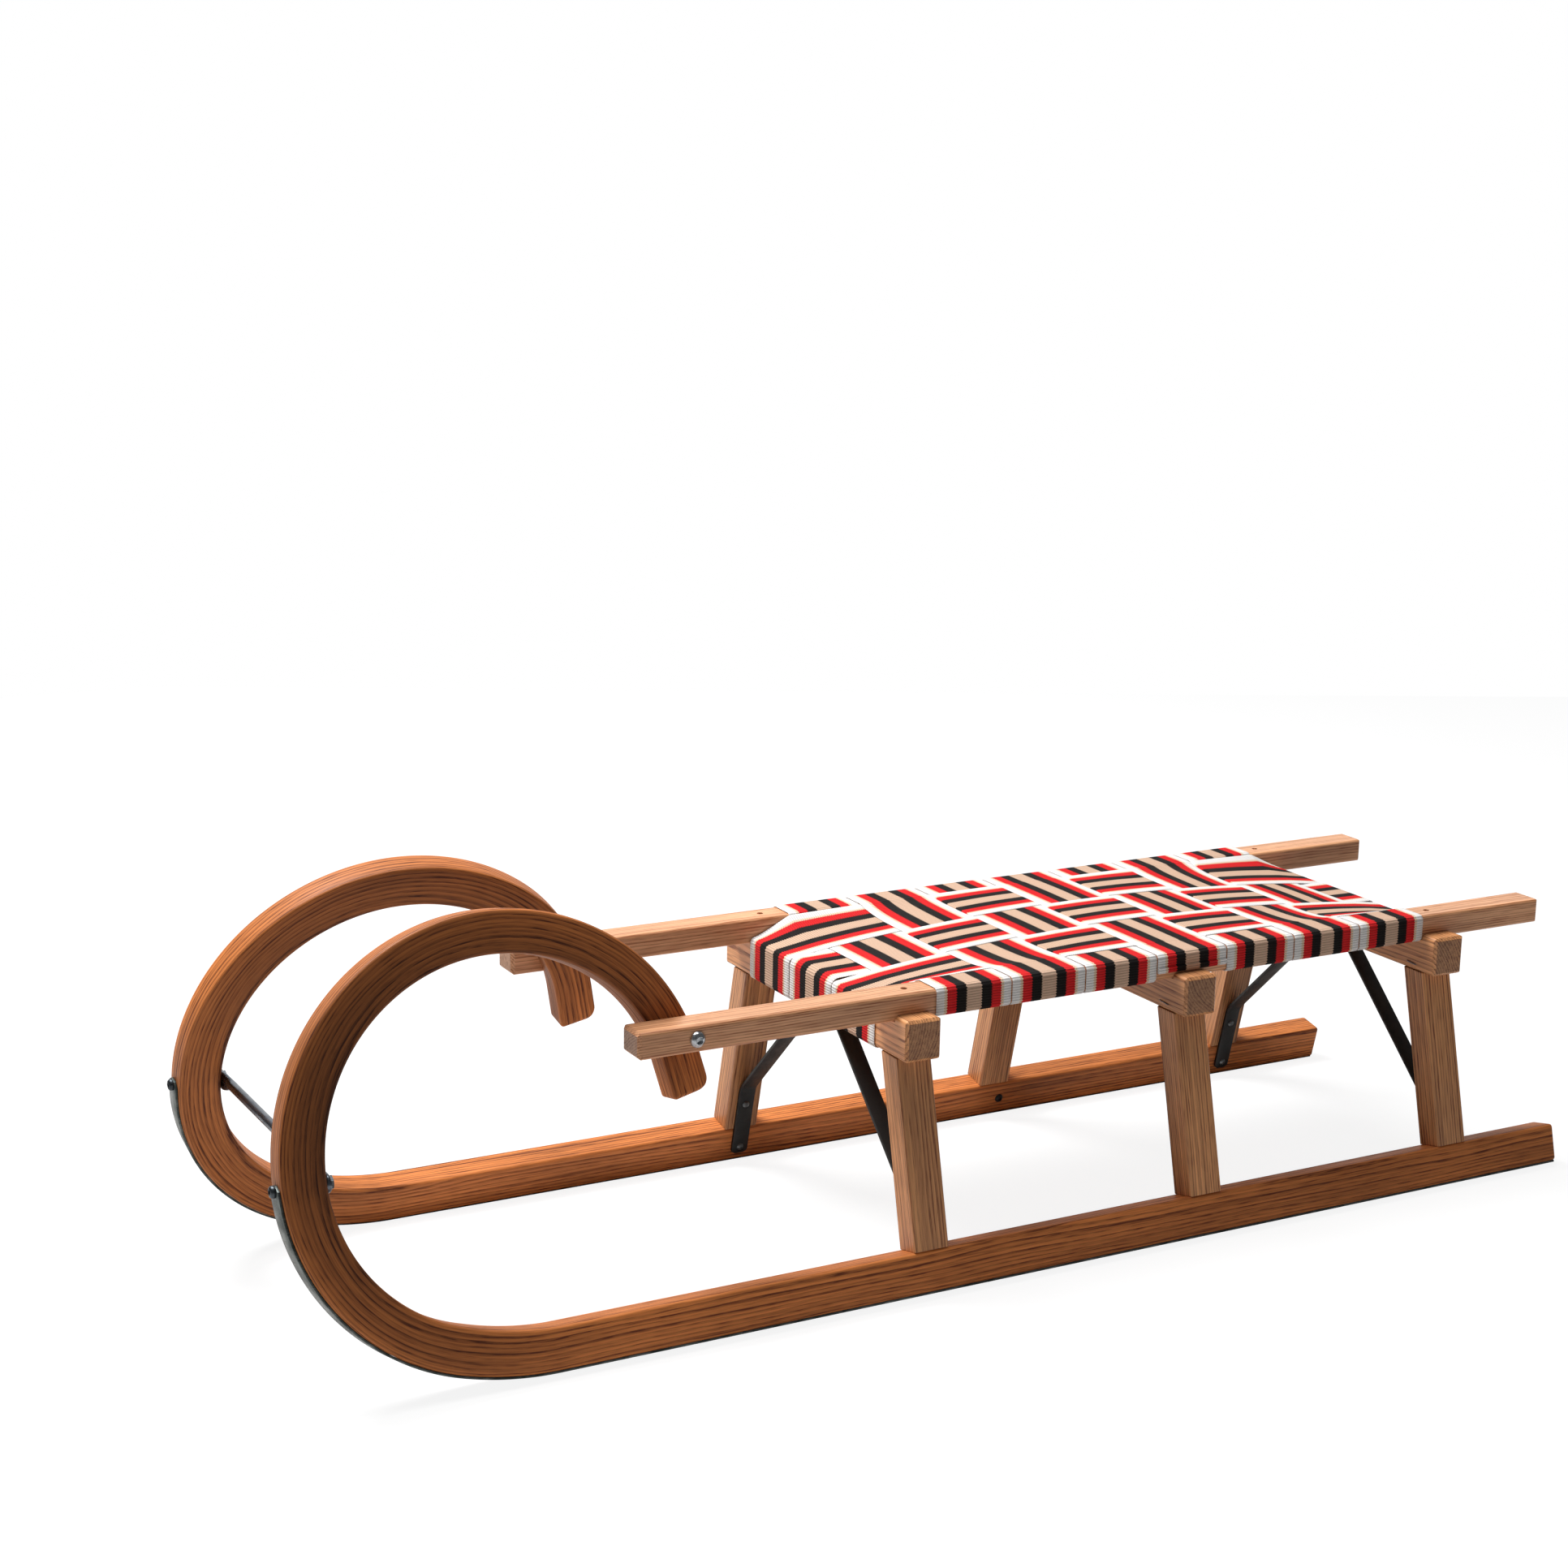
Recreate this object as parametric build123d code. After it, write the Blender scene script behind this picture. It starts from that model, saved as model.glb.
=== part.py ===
from build123d import *
from math import acos, atan2, cos, hypot, radians, sin, tan
import os

# A horn sledge: two steam-bent runners whose fronts curl up and back into horns,
# splayed legs tenoned into three crossbars, two side rails let into the crossbars
# and a seat of woven webbing. Millimetres; +X forward, +Y to the rider's left, +Z up.
# The origin is under the middle of the sledge, on the ground.

os.makedirs("parts", exist_ok=True)

# ---- driving dimensions -------------------------------------------------------

horn_reach = 526.0           # front crossbar to the front of the horns
bar_spacing = 274.0          # one crossbar to the next
rear_overhang = 122.0        # rear crossbar to the ends of runners and rails
rail_front_reach = 243.0     # front crossbar to the front ends of the rails
seat_height = 244.0          # ground to the top of the rails
rail_spread = 276.0          # outer face to outer face of the rails
leg_head_spread = 283.9      # outer face to outer face of the legs, under the crossbars
splay = 13.4                 # lean of legs and runners, degrees

# runners and horns
runner_width = 25.0
runner_height = 33.5
runner_easing = 2.0          # off the long arrises
lift_radius = 280.0          # first gentle rise of the bend
lift_turn = 16.0
brow_radius = 178.0          # from the front of the horn up to its top
crown_radius = 186.0         # back from the top
crown_turn = 35.0
nape_radius = 157.0          # down to the tip
nape_turn = 42.0
horn_rise = 102.0            # top of the horn above the top of the rails
lift_thickness = 35.5        # runner at the end of its gentle rise
toe_thickness = 34.5         # horn at its foremost point
top_thickness = 34.0         # horn at its top
tip_thickness = 32.5         # horn at its tip
tip_drop = 30.5              # the tip below the underside of the rail
draw_power = 1.2             # the horn draws in with this power of the run
station_step = 15.0          # turn between two sections of the bend, degrees

# steel soles
sole_width = 19.0
sole_thickness = 2.0
sole_gap = 0.15              # between the sole and the runner
sole_above_bolt = 5.0        # the sole ends this far above the horn bolt

# side rails
rail_width = 29.5
rail_height = 22.0
rail_round = 3.5             # long arrises
rail_end_chamfer = 3.0
rail_bolt_reach = 193.0      # front crossbar to the bolt through rail and horn
rail_screw_radius = 2.8      # sunk hole over a screw into the crossbar
rail_screw_depth = 4.0
rail_bedding = 1.2           # depth to which the rail is bedded into the horn

# crossbars
bar_width = 33.0
bar_height = 35.0
bar_length = 313.0
bar_round = 3.5              # long arrises
bar_end_chamfer = 2.5
notch_depth = 5.0            # the rails sit this deep in the crossbars

# legs
leg_width = 32.0             # along the sledge
leg_easing = 1.2             # off the leg's arrises
tenon_width = 18.0
tenon_thickness = 12.0
head_tenon_length = 17.0     # up into the crossbar
foot_tenon_length = 18.0     # down into the runner
mortise_end_gap = 1.0

# webbing
cross_count = 7
long_count = 3
webbing_thickness = 1.4
webbing_gap = 3.2            # between two neighbouring bands
weave_clearance = 0.15       # between bands where they cross
weave_margin = 0.45          # a band is level this far past the one it crosses
wrap_clearance = 0.25        # between webbing and wood
wrap_return = 6.0            # the bands stop this far short of the rail's inner face
middle_hem_height = 2.5      # the middle band ends this far above its crossbar
hem_clearance = 1.0          # between a long band's hem and the brace under the crossbar

# steel braces
brace_width = 16.0
brace_thickness = 3.0
brace_meet = 24.0            # from the middle of the crossbar to the brace's first bend
brace_foot = 19.0            # flat end under the crossbar
brace_slope = 44.0           # of its straight upper stretch, degrees
brace_bend_radius = 18.0
brace_end_height = 8.0       # lower end, above the bottom face of the runner

# bolts and the rod
bolt_radius = 3.0
rail_head_radius = 6.6
rail_head_height = 4.2
horn_bolt_drop = 5.0         # below the foremost point of the horn
horn_head_radius = 4.8
horn_head_height = 3.5
nut_radius = 5.6
nut_height = 5.0
nut_sink = 2.0               # the nut's seat, cut level into the leaning face
rod_radius = 4.0
eye_radius = 9.0
eye_thickness = 4.0
rod_set_back = 0.4           # of the rod's front behind the eye's front face
fit = 0.1                    # clearance of tenons, notches and shanks, all round

# ---- levels and stations worked out from them -----------------------------------

lean = radians(splay)
front_fittings = sole_gap + sole_thickness + horn_head_height
overall_length = rear_overhang + 2 * bar_spacing + horn_reach + front_fittings
front_x = overall_length / 2 - front_fittings
rear_x = -overall_length / 2
bar_x = [front_x - horn_reach - bar_spacing * i for i in range(3)]
BARS = ("front", "middle", "rear")
rail_front_x = bar_x[0] + rail_front_reach
rail_outer = rail_spread / 2
rail_inner = rail_outer - rail_width
rail_bottom = seat_height - rail_height
bar_top = rail_bottom + notch_depth
bar_bottom = bar_top - bar_height

# The legs lie flush with both faces of the runner.
leg_thickness = runner_width

# Each runner lies in a leaning plane. A point of it is given by x, by the height h up
# that plane from the outer bottom edge, and by the distance q in from the outer face.
foot_z = (runner_width + sole_width) / 2 * sin(lean) + sole_thickness * cos(lean)
foot_y = leg_head_spread / 2 + (bar_bottom - foot_z) * tan(lean)
UP = Vector(0, -sin(lean), cos(lean))
IN = Vector(0, -cos(lean), -sin(lean))


def on_plane(x, h, q):
    """Point at x, h up the left-hand leaning plane and q in from its outer face."""
    return Vector(x, foot_y, foot_z) + UP * h + IN * q


def height_up(z, q=0.0):
    """Height h at which the line q in from the outer face reaches level z."""
    return (z - foot_z + q * sin(lean)) / cos(lean)


def lean_box(x, length, h0, h1, q0, q1):
    """Box centred on x, from h0 to h1 up the left-hand plane and q0 to q1 in from it."""
    middle = on_plane(x, (h0 + h1) / 2, (q0 + q1) / 2)
    return Plane(middle, x_dir=(1, 0, 0), z_dir=UP) * Box(length, q1 - q0, h1 - h0)


def rounded_bar(box, axis, radius, end_chamfer):
    """The box with chamfered ends and rounded long arrises."""
    ends = box.faces().filter_by(axis)
    box = chamfer([e for f in ends for e in f.edges()], end_chamfer)
    longest = box.edges().filter_by(axis).group_by(Edge.length)[-1]
    return fillet(longest, radius)


def right_hand(solid):
    """The same piece for the right-hand side."""
    return mirror(solid, about=Plane.XZ)


def save(name, solid):
    """Write one node, with its own name, as a STEP file."""
    solid.label = name
    export_step(solid, f"parts/{name}.step")


def save_pair(name, left):
    """Write a left-hand piece and its mirror image."""
    save(f"{name}_left", left)
    save(f"{name}_right", right_hand(left))


# ---- the line of the bend ---------------------------------------------------------

horn_top = height_up(seat_height + horn_rise)
toe_radius = (horn_top - brow_radius - lift_radius * (1 - cos(radians(lift_turn)))) / cos(
    radians(lift_turn))
bend_start = front_x - lift_radius * sin(radians(lift_turn)) - toe_radius * (
    1 - sin(radians(lift_turn)))


def bend_stations():
    """Stations along the outer face of the bend, as (x, h, heading, run, thickness).

    The outer face is a chain of tangent arcs: a gentle lift, the toe, the brow, the
    crown and the nape, then a straight tip. Heading is the turn so far in radians and
    run is the length so far.
    """
    arcs = (
        (lift_radius, lift_turn, lift_thickness),
        (toe_radius, 90.0 - lift_turn, toe_thickness),
        (brow_radius, 90.0, top_thickness),
        (crown_radius, crown_turn, (top_thickness + tip_thickness) / 2),
        (nape_radius, nape_turn, tip_thickness),
    )
    x, h, heading, run, thickness = bend_start, 0.0, 0.0, 0.0, runner_height
    stations = [(x, h, heading, run, thickness)]
    for radius, turn, end_thickness in arcs:
        steps = max(2, round(turn / station_step))
        step = radians(turn) / steps
        for i in range(steps):
            x += radius * (sin(heading + step) - sin(heading))
            h += radius * (cos(heading) - cos(heading + step))
            heading += step
            run += radius * step
            thickness += (end_thickness - thickness) / (steps - i)
            stations.append((x, h, heading, run, thickness))
    tail = (h - height_up(rail_bottom - tip_drop)) / -sin(heading)
    stations.append((x + tail * cos(heading), h + tail * sin(heading), heading,
                     run + tail, tip_thickness))
    return stations


STATIONS = bend_stations()
bend_run = STATIONS[-1][3]

# The horn bolts pass just below the foremost point of the bend, level and fore-and-aft.
horn_bolt_h = horn_top - brow_radius - horn_bolt_drop

# The horns draw in towards their tips, so that the tips lie against the rails' inner
# faces. The draw grows with a power of the run.
rail_middle = (seat_height + rail_bottom) / 2


def run_at_level(z):
    """Run at which the outer face of the horn comes down through level z."""
    h = height_up(z, runner_width / 2)
    for (_, h0, _, run0, _), (_, h1, _, run1, _) in zip(STATIONS[:-1], STATIONS[1:]):
        if h1 <= h <= h0:
            return run0 + (h0 - h) / (h0 - h1) * (run1 - run0)


rail_bolt_x = bar_x[0] + rail_bolt_reach
plane_y = on_plane(0, height_up(rail_middle), 0).Y
tip_draw = (plane_y - rail_inner - rail_bedding) / (
    run_at_level(rail_middle) / bend_run) ** draw_power


def draw_at(run):
    """How far the horn is drawn in at a run, and the slope of the draw there."""
    draw = tip_draw * (run / bend_run) ** draw_power
    return draw, draw_power * draw / run if run else 0.0


def bend_section(station, depth0, depth1, q0, q1, easing):
    """Section across the bend at one station.

    It spans depth0 to depth1 in from the outer face towards the hollow of the bend,
    and q0 to q1 in from the side face. Its corners are eased off by the last number.
    """
    x, h, heading, run, _ = station
    draw, slope = draw_at(run)
    along = (Vector(cos(heading), 0, 0) + UP * sin(heading) + IN * slope).normalized()
    inward = Vector(-sin(heading), 0, 0) + UP * cos(heading)
    middle = on_plane(x, h, 0) + IN * (draw + (q0 + q1) / 2) + inward * ((depth0 + depth1) / 2)
    plane = Plane(middle, x_dir=inward, z_dir=along)
    outline = Rectangle(depth1 - depth0, q1 - q0)
    return plane * (chamfer(outline.vertices(), easing) if easing else outline)


def bend_loft(stations, depth0, q0, q1, easing, depth1=None):
    """Solid through the sections at these stations; depth1 None means the full blank."""
    return loft([bend_section(s, depth0, s[4] if depth1 is None else depth1, q0, q1, easing)
                 for s in stations])


# Where the horn bolt leaves the horn on the hollow side.
toe_run = lift_radius * radians(lift_turn) + toe_radius * radians(90 - lift_turn)
toe_draw, _ = draw_at(toe_run)
hollow = on_plane(front_x - toe_thickness, horn_bolt_h, runner_width / 2 + toe_draw)

# The nut of the rail bolt seats in a level flat on the leaning inner face of the horn.
nut_seat_y = rail_inner + rail_bedding - runner_width / cos(lean) + nut_sink


def bolt(direction, grip, head_radius, head_height):
    """Round-headed bolt with its nut: head above the origin, shank down by the grip."""
    head = Cylinder(head_radius, head_height, align=(Align.CENTER, Align.CENTER, Align.MIN))
    shank = Cylinder(bolt_radius, grip + nut_height / 2,
                     align=(Align.CENTER, Align.CENTER, Align.MAX))
    nut = Pos(0, 0, -grip) * extrude(RegularPolygon(nut_radius, 6), amount=-nut_height)
    return Plane((0, 0, 0), z_dir=direction) * (head + shank + nut)


def drill(at, direction, radius, length):
    """Straight hole that starts at a point and runs along a direction."""
    return Plane(at, z_dir=direction) * Cylinder(
        radius, length, align=(Align.CENTER, Align.CENTER, Align.MIN))


def leg_tenon(x, length, clearance, end_gap):
    """Tenon at the foot of a leg, or its mortise when given a clearance."""
    return lean_box(x, tenon_width + 2 * clearance,
                    runner_height - length - end_gap, runner_height,
                    (leg_thickness - tenon_thickness) / 2 - clearance,
                    (leg_thickness + tenon_thickness) / 2 + clearance)


def head_tenon(x, length, clearance, end_gap):
    """Tenon at the head of a leg, or its mortise, measured from the crossbar's underside."""
    shoulder = height_up(bar_bottom, leg_thickness / 2)
    return lean_box(x, tenon_width + 2 * clearance, shoulder - leg_thickness / 2,
                    shoulder + length + end_gap,
                    (leg_thickness - tenon_thickness) / 2 - clearance,
                    (leg_thickness + tenon_thickness) / 2 + clearance)


# ---- runners with their horns --------------------------------------------------------


def make_runner():
    """Left runner: a straight blank steam-bent into the horn, with its joints cut."""
    blank = bend_section(STATIONS[0], 0, runner_height, 0, runner_width, runner_easing)
    runner = extrude(blank, amount=bend_start - rear_x, dir=(-1, 0, 0))
    runner += bend_loft(STATIONS, 0, 0, runner_width, runner_easing)
    for x in bar_x:
        runner -= leg_tenon(x, foot_tenon_length, fit, mortise_end_gap)
    flat = Box(4 * tip_thickness, rail_width, rail_height + 2 * fit)
    runner -= Pos(rail_bolt_x, rail_inner + rail_width / 2, rail_middle) * flat
    bolt_at = (rail_bolt_x, rail_outer, rail_middle)
    runner -= drill(bolt_at, (0, -1, 0), bolt_radius + fit, rail_outer)
    nut_at = (rail_bolt_x, nut_seat_y, rail_middle)
    runner -= drill(nut_at, (0, -1, 0), nut_radius + 1, runner_width)
    runner -= drill(hollow - Vector(1, 0, 0), (1, 0, 0), bolt_radius + fit, toe_thickness + 2)
    return runner


save_pair("runner", make_runner())

# ---- steel soles ----------------------------------------------------------------------


def make_sole():
    """Left sole: a flat steel strip under the runner and up the front of the horn."""
    q0 = (runner_width - sole_width) / 2
    q1 = (runner_width + sole_width) / 2
    depth0, depth1 = -(sole_gap + sole_thickness), -sole_gap
    section = bend_section(STATIONS[0], depth0, depth1, q0, q1, 0)
    sole = extrude(section, amount=bend_start - rear_x, dir=(-1, 0, 0))
    past_toe = next(i for i, s in enumerate(STATIONS) if s[2] > radians(91)) + 1
    sole += bend_loft(STATIONS[:past_toe], depth0, q0, q1, 0, depth1)
    end = Plane((0, 0, hollow.Z + sole_above_bolt), z_dir=(0, 0, 1))
    sole = split(sole, bisect_by=end, keep=Keep.BOTTOM)
    return sole - drill(hollow, (1, 0, 0), bolt_radius + fit, 2 * toe_thickness)


save_pair("sole_band", make_sole())

# ---- side rails -------------------------------------------------------------------------

rail_length = rail_front_x - rear_x
rail_y = (rail_inner + rail_outer) / 2


def make_rail():
    """Left rail: straight, with rounded arrises, bored for its bolt and sunk screws."""
    rail = rounded_bar(Box(rail_length, rail_width, rail_height), Axis.X, rail_round,
                       rail_end_chamfer)
    rail = Pos((rail_front_x + rear_x) / 2, rail_y, rail_middle) * rail
    for x in (bar_x[0], bar_x[2]):
        rail -= drill((x, rail_y, seat_height), (0, 0, -1), rail_screw_radius,
                      rail_screw_depth)
    bolt_at = (rail_bolt_x, rail_outer, rail_middle)
    return rail - drill(bolt_at, (0, -1, 0), bolt_radius + fit, rail_width)


save_pair("side_rail", make_rail())

# ---- crossbars -----------------------------------------------------------------------------


def make_bar(x):
    """Crossbar with notches for the rails and mortises for the legs."""
    bar = rounded_bar(Box(bar_width, bar_length, bar_height), Axis.Y, bar_round,
                      bar_end_chamfer)
    bar = Pos(x, 0, (bar_top + bar_bottom) / 2) * bar
    notch = Box(bar_width, rail_width + 2 * fit, rail_height,
                align=(Align.CENTER, Align.CENTER, Align.MIN))
    joints = Pos(x, rail_y, rail_bottom) * notch
    joints += head_tenon(x, head_tenon_length, fit, mortise_end_gap)
    return bar - joints - right_hand(joints)


# ---- legs ------------------------------------------------------------------------------------


def make_leg(x):
    """Left leg: leaning and flush with the runner, with a tenon at each end."""
    leg = lean_box(x, leg_width, runner_height, height_up(bar_top), 0, leg_thickness)
    leg = chamfer(leg.edges().filter_by(lambda e: abs((e % 0.5).dot(UP)) > 0.99), leg_easing)
    above = Box(2 * leg_width, 2 * foot_y, 2 * bar_height,
                align=(Align.CENTER, Align.CENTER, Align.MIN))
    leg -= Pos(x, 0, bar_bottom) * above
    leg += leg_tenon(x, foot_tenon_length, 0, 0)
    return leg + head_tenon(x, head_tenon_length, 0, 0)


# ---- straps: webbing and braces ---------------------------------------------------------------


def strap(line, radii, thickness, plane, width):
    """Flat strip seen edge-on, drawn on a plane and as wide as given.

    One face follows a line with bend radii; the other lies the thickness to its right.
    """
    points = [Vector(*p) for p in line]
    steps = [(b - a).normalized() for a, b in zip(points, points[1:])]
    sides = [Vector(s.Y, -s.X) * thickness for s in steps]
    back = [points[0] + sides[0]]
    back_radii = []
    for point, radius, s0, s1, n0, n1 in zip(points[1:], radii, steps, steps[1:], sides,
                                             sides[1:]):
        back.append(point + (n0 + n1) / (1 + s0.dot(s1)))
        outer = s0.X * s1.Y > s0.Y * s1.X
        back_radii.append(radius and radius + (thickness if outer else -thickness))
    back.append(points[-1] + sides[-1])
    face_line = FilletPolyline(*points, radius=radii)
    back_line = FilletPolyline(*back, radius=back_radii)
    outline = [*face_line.edges(), *back_line.edges(), Edge.make_line(points[0], back[0]),
               Edge.make_line(points[-1], back[-1])]
    return extrude(plane * make_face(outline), amount=width / 2, both=True)


def across(x):
    """Drawing plane across the sledge: its x is Y and its y is Z."""
    return Plane((x, 0, 0), x_dir=(0, 1, 0), z_dir=(1, 0, 0))


def along(y):
    """Drawing plane along the sledge: its x is X and its y is Z."""
    return Plane((0, y, 0), x_dir=(1, 0, 0), z_dir=(0, -1, 0))


# Steel braces: flat under the crossbar, down at a slope, then down the inner face of the
# leg and of the runner.
slope = radians(brace_slope)
leg_face = on_plane(0, height_up(bar_bottom, leg_thickness), leg_thickness)
brace_run = (leg_face.Y - brace_meet) / (cos(slope) + sin(slope) * tan(-lean))


def make_brace(x):
    """Left brace: a bent flat steel strip."""
    bend = (brace_meet + brace_run * cos(slope), bar_bottom - brace_run * sin(slope))
    end = on_plane(x, brace_end_height, leg_thickness)
    line = [(brace_meet - brace_foot, bar_bottom), (brace_meet, bar_bottom), bend,
            (end.Y, end.Z)]
    return strap(line, [brace_bend_radius] * 2, brace_thickness, across(x), brace_width)


for name, x in zip(BARS, bar_x):
    save(f"crossbar_{name}", make_bar(x))
    save_pair(f"leg_{name}", make_leg(x))
    if name != "middle":
        save_pair(f"brace_{name}", make_brace(x))

# ---- woven seat ---------------------------------------------------------------------------------
# Plain weave: cross band i goes over long band k where i + k is odd. Bands are numbered
# from the front and from the right. They change level only in the gaps between bands.

cross_pitch = (2 * bar_spacing - bar_width) / cross_count
cross_width = cross_pitch - webbing_gap
cross_x = [bar_x[0] - bar_width / 2 - cross_pitch * (i + 0.5) for i in range(cross_count)]
long_pitch = 2 * rail_inner / long_count
long_width = long_pitch - webbing_gap
long_y = [long_pitch * (k - (long_count - 1) / 2) for k in range(long_count)]
wrap_level = seat_height + wrap_clearance
half_step = (webbing_thickness + weave_clearance) / 2
hem_return = (bar_width - brace_width) / 2 - hem_clearance


def woven(centres, width, over):
    """Points of a band's lower face over and under a row of bands, in falling order."""
    points = []
    for centre, is_over in zip(centres, over):
        level = wrap_level + (half_step if is_over else -half_step)
        reach = width / 2 + weave_margin
        points += [(centre + reach, level), (centre - reach, level)]
    return points


def make_cross_band(i):
    """Cross band: under the left rail, up and over it, woven across, and round the right."""
    weave = woven(reversed(long_y), long_width,
                  [(i + k) % 2 == 1 for k in reversed(range(long_count))])
    side = rail_outer + wrap_clearance
    radius = rail_round + wrap_clearance
    rim = [(side, wrap_level), (rail_inner + rail_round, wrap_level)]
    if abs(cross_x[i] - bar_x[1]) < cross_pitch / 2:
        hem = [(side, bar_top + middle_hem_height)]
        radii = [radius]
    else:
        under = rail_bottom - wrap_clearance
        hem = [(rail_inner + wrap_return, under), (side, under)]
        radii = [radius, radius]
    left = hem + rim
    right = [(-y, z) for y, z in reversed(left)]
    bends = radii + [0] * (len(weave) + 2) + radii
    return strap(left + weave + right, bends, webbing_thickness, across(cross_x[i]),
                 cross_width)


def slope_corner(start, face_x, direction):
    """Where a band from the weave, lying tangent on a crossbar's arris, meets its face."""
    radius = bar_round + wrap_clearance
    centre_x = face_x - direction * bar_round
    centre_z = bar_top - bar_round
    dx, dz = direction * (start[0] - centre_x), start[1] - centre_z
    tilt = atan2(dx, dz) + acos(radius / hypot(dx, dz))
    return (face_x + direction * wrap_clearance,
            centre_z + radius * (1 - sin(tilt)) / cos(tilt))


def make_long_band(k):
    """Long band: up the front crossbar, woven to the rear and down the rear crossbar."""
    weave = woven(cross_x, cross_width, [(i + k) % 2 == 0 for i in range(cross_count)])
    under = bar_bottom - wrap_clearance
    ends = []
    for start, x, direction in ((weave[0], bar_x[0], 1), (weave[-1], bar_x[2], -1)):
        face_x = x + direction * bar_width / 2
        outside = face_x + direction * wrap_clearance
        ends.append([(face_x - direction * hem_return, under), (outside, under),
                     slope_corner(start, face_x, direction)])
    radius = bar_round + wrap_clearance
    bends = [radius] * 2 + [0] * len(weave) + [radius] * 2
    return strap(ends[0] + weave + ends[1][::-1], bends, webbing_thickness,
                 along(long_y[k]), long_width)


for i in range(cross_count):
    save(f"seat_band_cross_{i + 1}", make_cross_band(i))
for k, name in enumerate(("right", "middle", "left")):
    save(f"seat_band_long_{name}", make_long_band(k))

# ---- rod and bolts ---------------------------------------------------------------------------------


# An eye is flat and the horn is hollow there, so the eye's lower rim bears on the horn.
eye_seat = (eye_radius + horn_bolt_drop) ** 2 / (2 * (toe_radius - toe_thickness)) + fit
eye_face = hollow.X - eye_seat


def make_rod():
    """Round steel rod between the horns, with a flattened eye at each end."""
    rod_x = eye_face - rod_radius - rod_set_back
    length = 2 * (hollow.Y - nut_radius - 1)
    rod = Plane((rod_x, 0, hollow.Z), z_dir=(0, 1, 0)) * Cylinder(rod_radius, length)
    for y in (hollow.Y, -hollow.Y):
        at = (eye_face, y, hollow.Z)
        rod += drill(at, (-1, 0, 0), eye_radius, eye_thickness)
        rod -= drill((eye_face + 1, y, hollow.Z), (-1, 0, 0), bolt_radius + fit,
                     eye_thickness + 2)
    return rod


save("horn_rod", make_rod())
rail_bolt = Pos(rail_bolt_x, rail_outer, rail_middle) * bolt(
    (0, 1, 0), rail_outer - nut_seat_y, rail_head_radius, rail_head_height)
save_pair("rail_bolt", rail_bolt)
horn_face = front_x + sole_gap + sole_thickness
horn_grip = horn_face - (eye_face - eye_thickness)
horn_bolt = Pos(horn_face, hollow.Y, hollow.Z) * bolt(
    (1, 0, 0), horn_grip, horn_head_radius, horn_head_height)
save_pair("horn_bolt", horn_bolt)
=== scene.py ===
import bmesh
import bpy
import numpy as np
from mathutils import Matrix, Vector


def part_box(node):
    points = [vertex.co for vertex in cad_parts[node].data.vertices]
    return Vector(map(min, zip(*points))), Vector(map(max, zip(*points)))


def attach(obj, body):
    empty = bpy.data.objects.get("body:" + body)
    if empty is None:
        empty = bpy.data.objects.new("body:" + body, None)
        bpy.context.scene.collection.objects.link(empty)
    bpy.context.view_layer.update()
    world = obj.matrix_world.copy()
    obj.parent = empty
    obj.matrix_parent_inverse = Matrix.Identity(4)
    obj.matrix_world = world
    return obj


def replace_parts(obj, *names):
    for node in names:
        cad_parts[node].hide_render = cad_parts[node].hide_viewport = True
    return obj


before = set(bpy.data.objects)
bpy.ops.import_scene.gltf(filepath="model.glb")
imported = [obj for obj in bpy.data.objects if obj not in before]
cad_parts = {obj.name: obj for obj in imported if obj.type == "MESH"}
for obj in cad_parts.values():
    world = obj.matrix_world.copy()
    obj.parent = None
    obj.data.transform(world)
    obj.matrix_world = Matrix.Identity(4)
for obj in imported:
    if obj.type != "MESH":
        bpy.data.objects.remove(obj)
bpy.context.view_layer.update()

mm = 0.001

# ---- runners -----------------------------------------------------------------------------
# Each runner is one ash blank, steamed and bent round a former into a horn, so its grain
# runs on round the bend. It leans outwards with the legs, it is thickest where the bend
# starts, and the horn draws in until its tip lies against the side rail's inner face.

rail_low, rail_high = (np.array(corner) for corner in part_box("side_rail_left"))
bar_low, bar_high = (np.array(corner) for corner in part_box("crossbar_front"))
runner_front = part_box("runner_left")[1].x
runner_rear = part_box("runner_left")[0].x

lean = np.radians(13.4)
runner_width = 25 * mm
sole_width, sole_thickness, sole_gap = 19 * mm, 2 * mm, 0.15 * mm
arris = 3.0 * mm                  # eased with a plane and sandpaper
end_round = 3.0 * mm
tip_round = 10 * mm               # outer corner of the horn's tip
leg_head_y = 141.95 * mm          # outer face of a leg, under the crossbar
horn_rise = 102 * mm              # top of the horn above the side rail
tip_drop = 30.5 * mm              # tip of the horn below the side rail
rail_bedding = 1.2 * mm
row_spacing = 4 * mm              # along the runners and soles
bedding_margin, bedding_gap = 0.2 * mm, 0.05 * mm    # flat by this much more; air left
lit_face_depth, rubbed_stain = 6 * mm, 0.4             # over this depth from a bend's outer face, the painted shade falls to this share, so that face is painted lighter, as lit

foot_z = (runner_width + sole_width) / 2 * np.sin(lean) + sole_thickness * np.cos(lean)
foot = np.array([0, leg_head_y + (bar_low[2] - foot_z) * np.tan(lean), foot_z])
up = np.array([0, -np.sin(lean), np.cos(lean)])
inward = np.array([0, -np.cos(lean), -np.sin(lean)])
forward = np.array([1.0, 0, 0])


def height_up(level):
    """Height up the leaning plane at which its outer face reaches a level."""
    return (level - foot[2]) / np.cos(lean)


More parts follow.
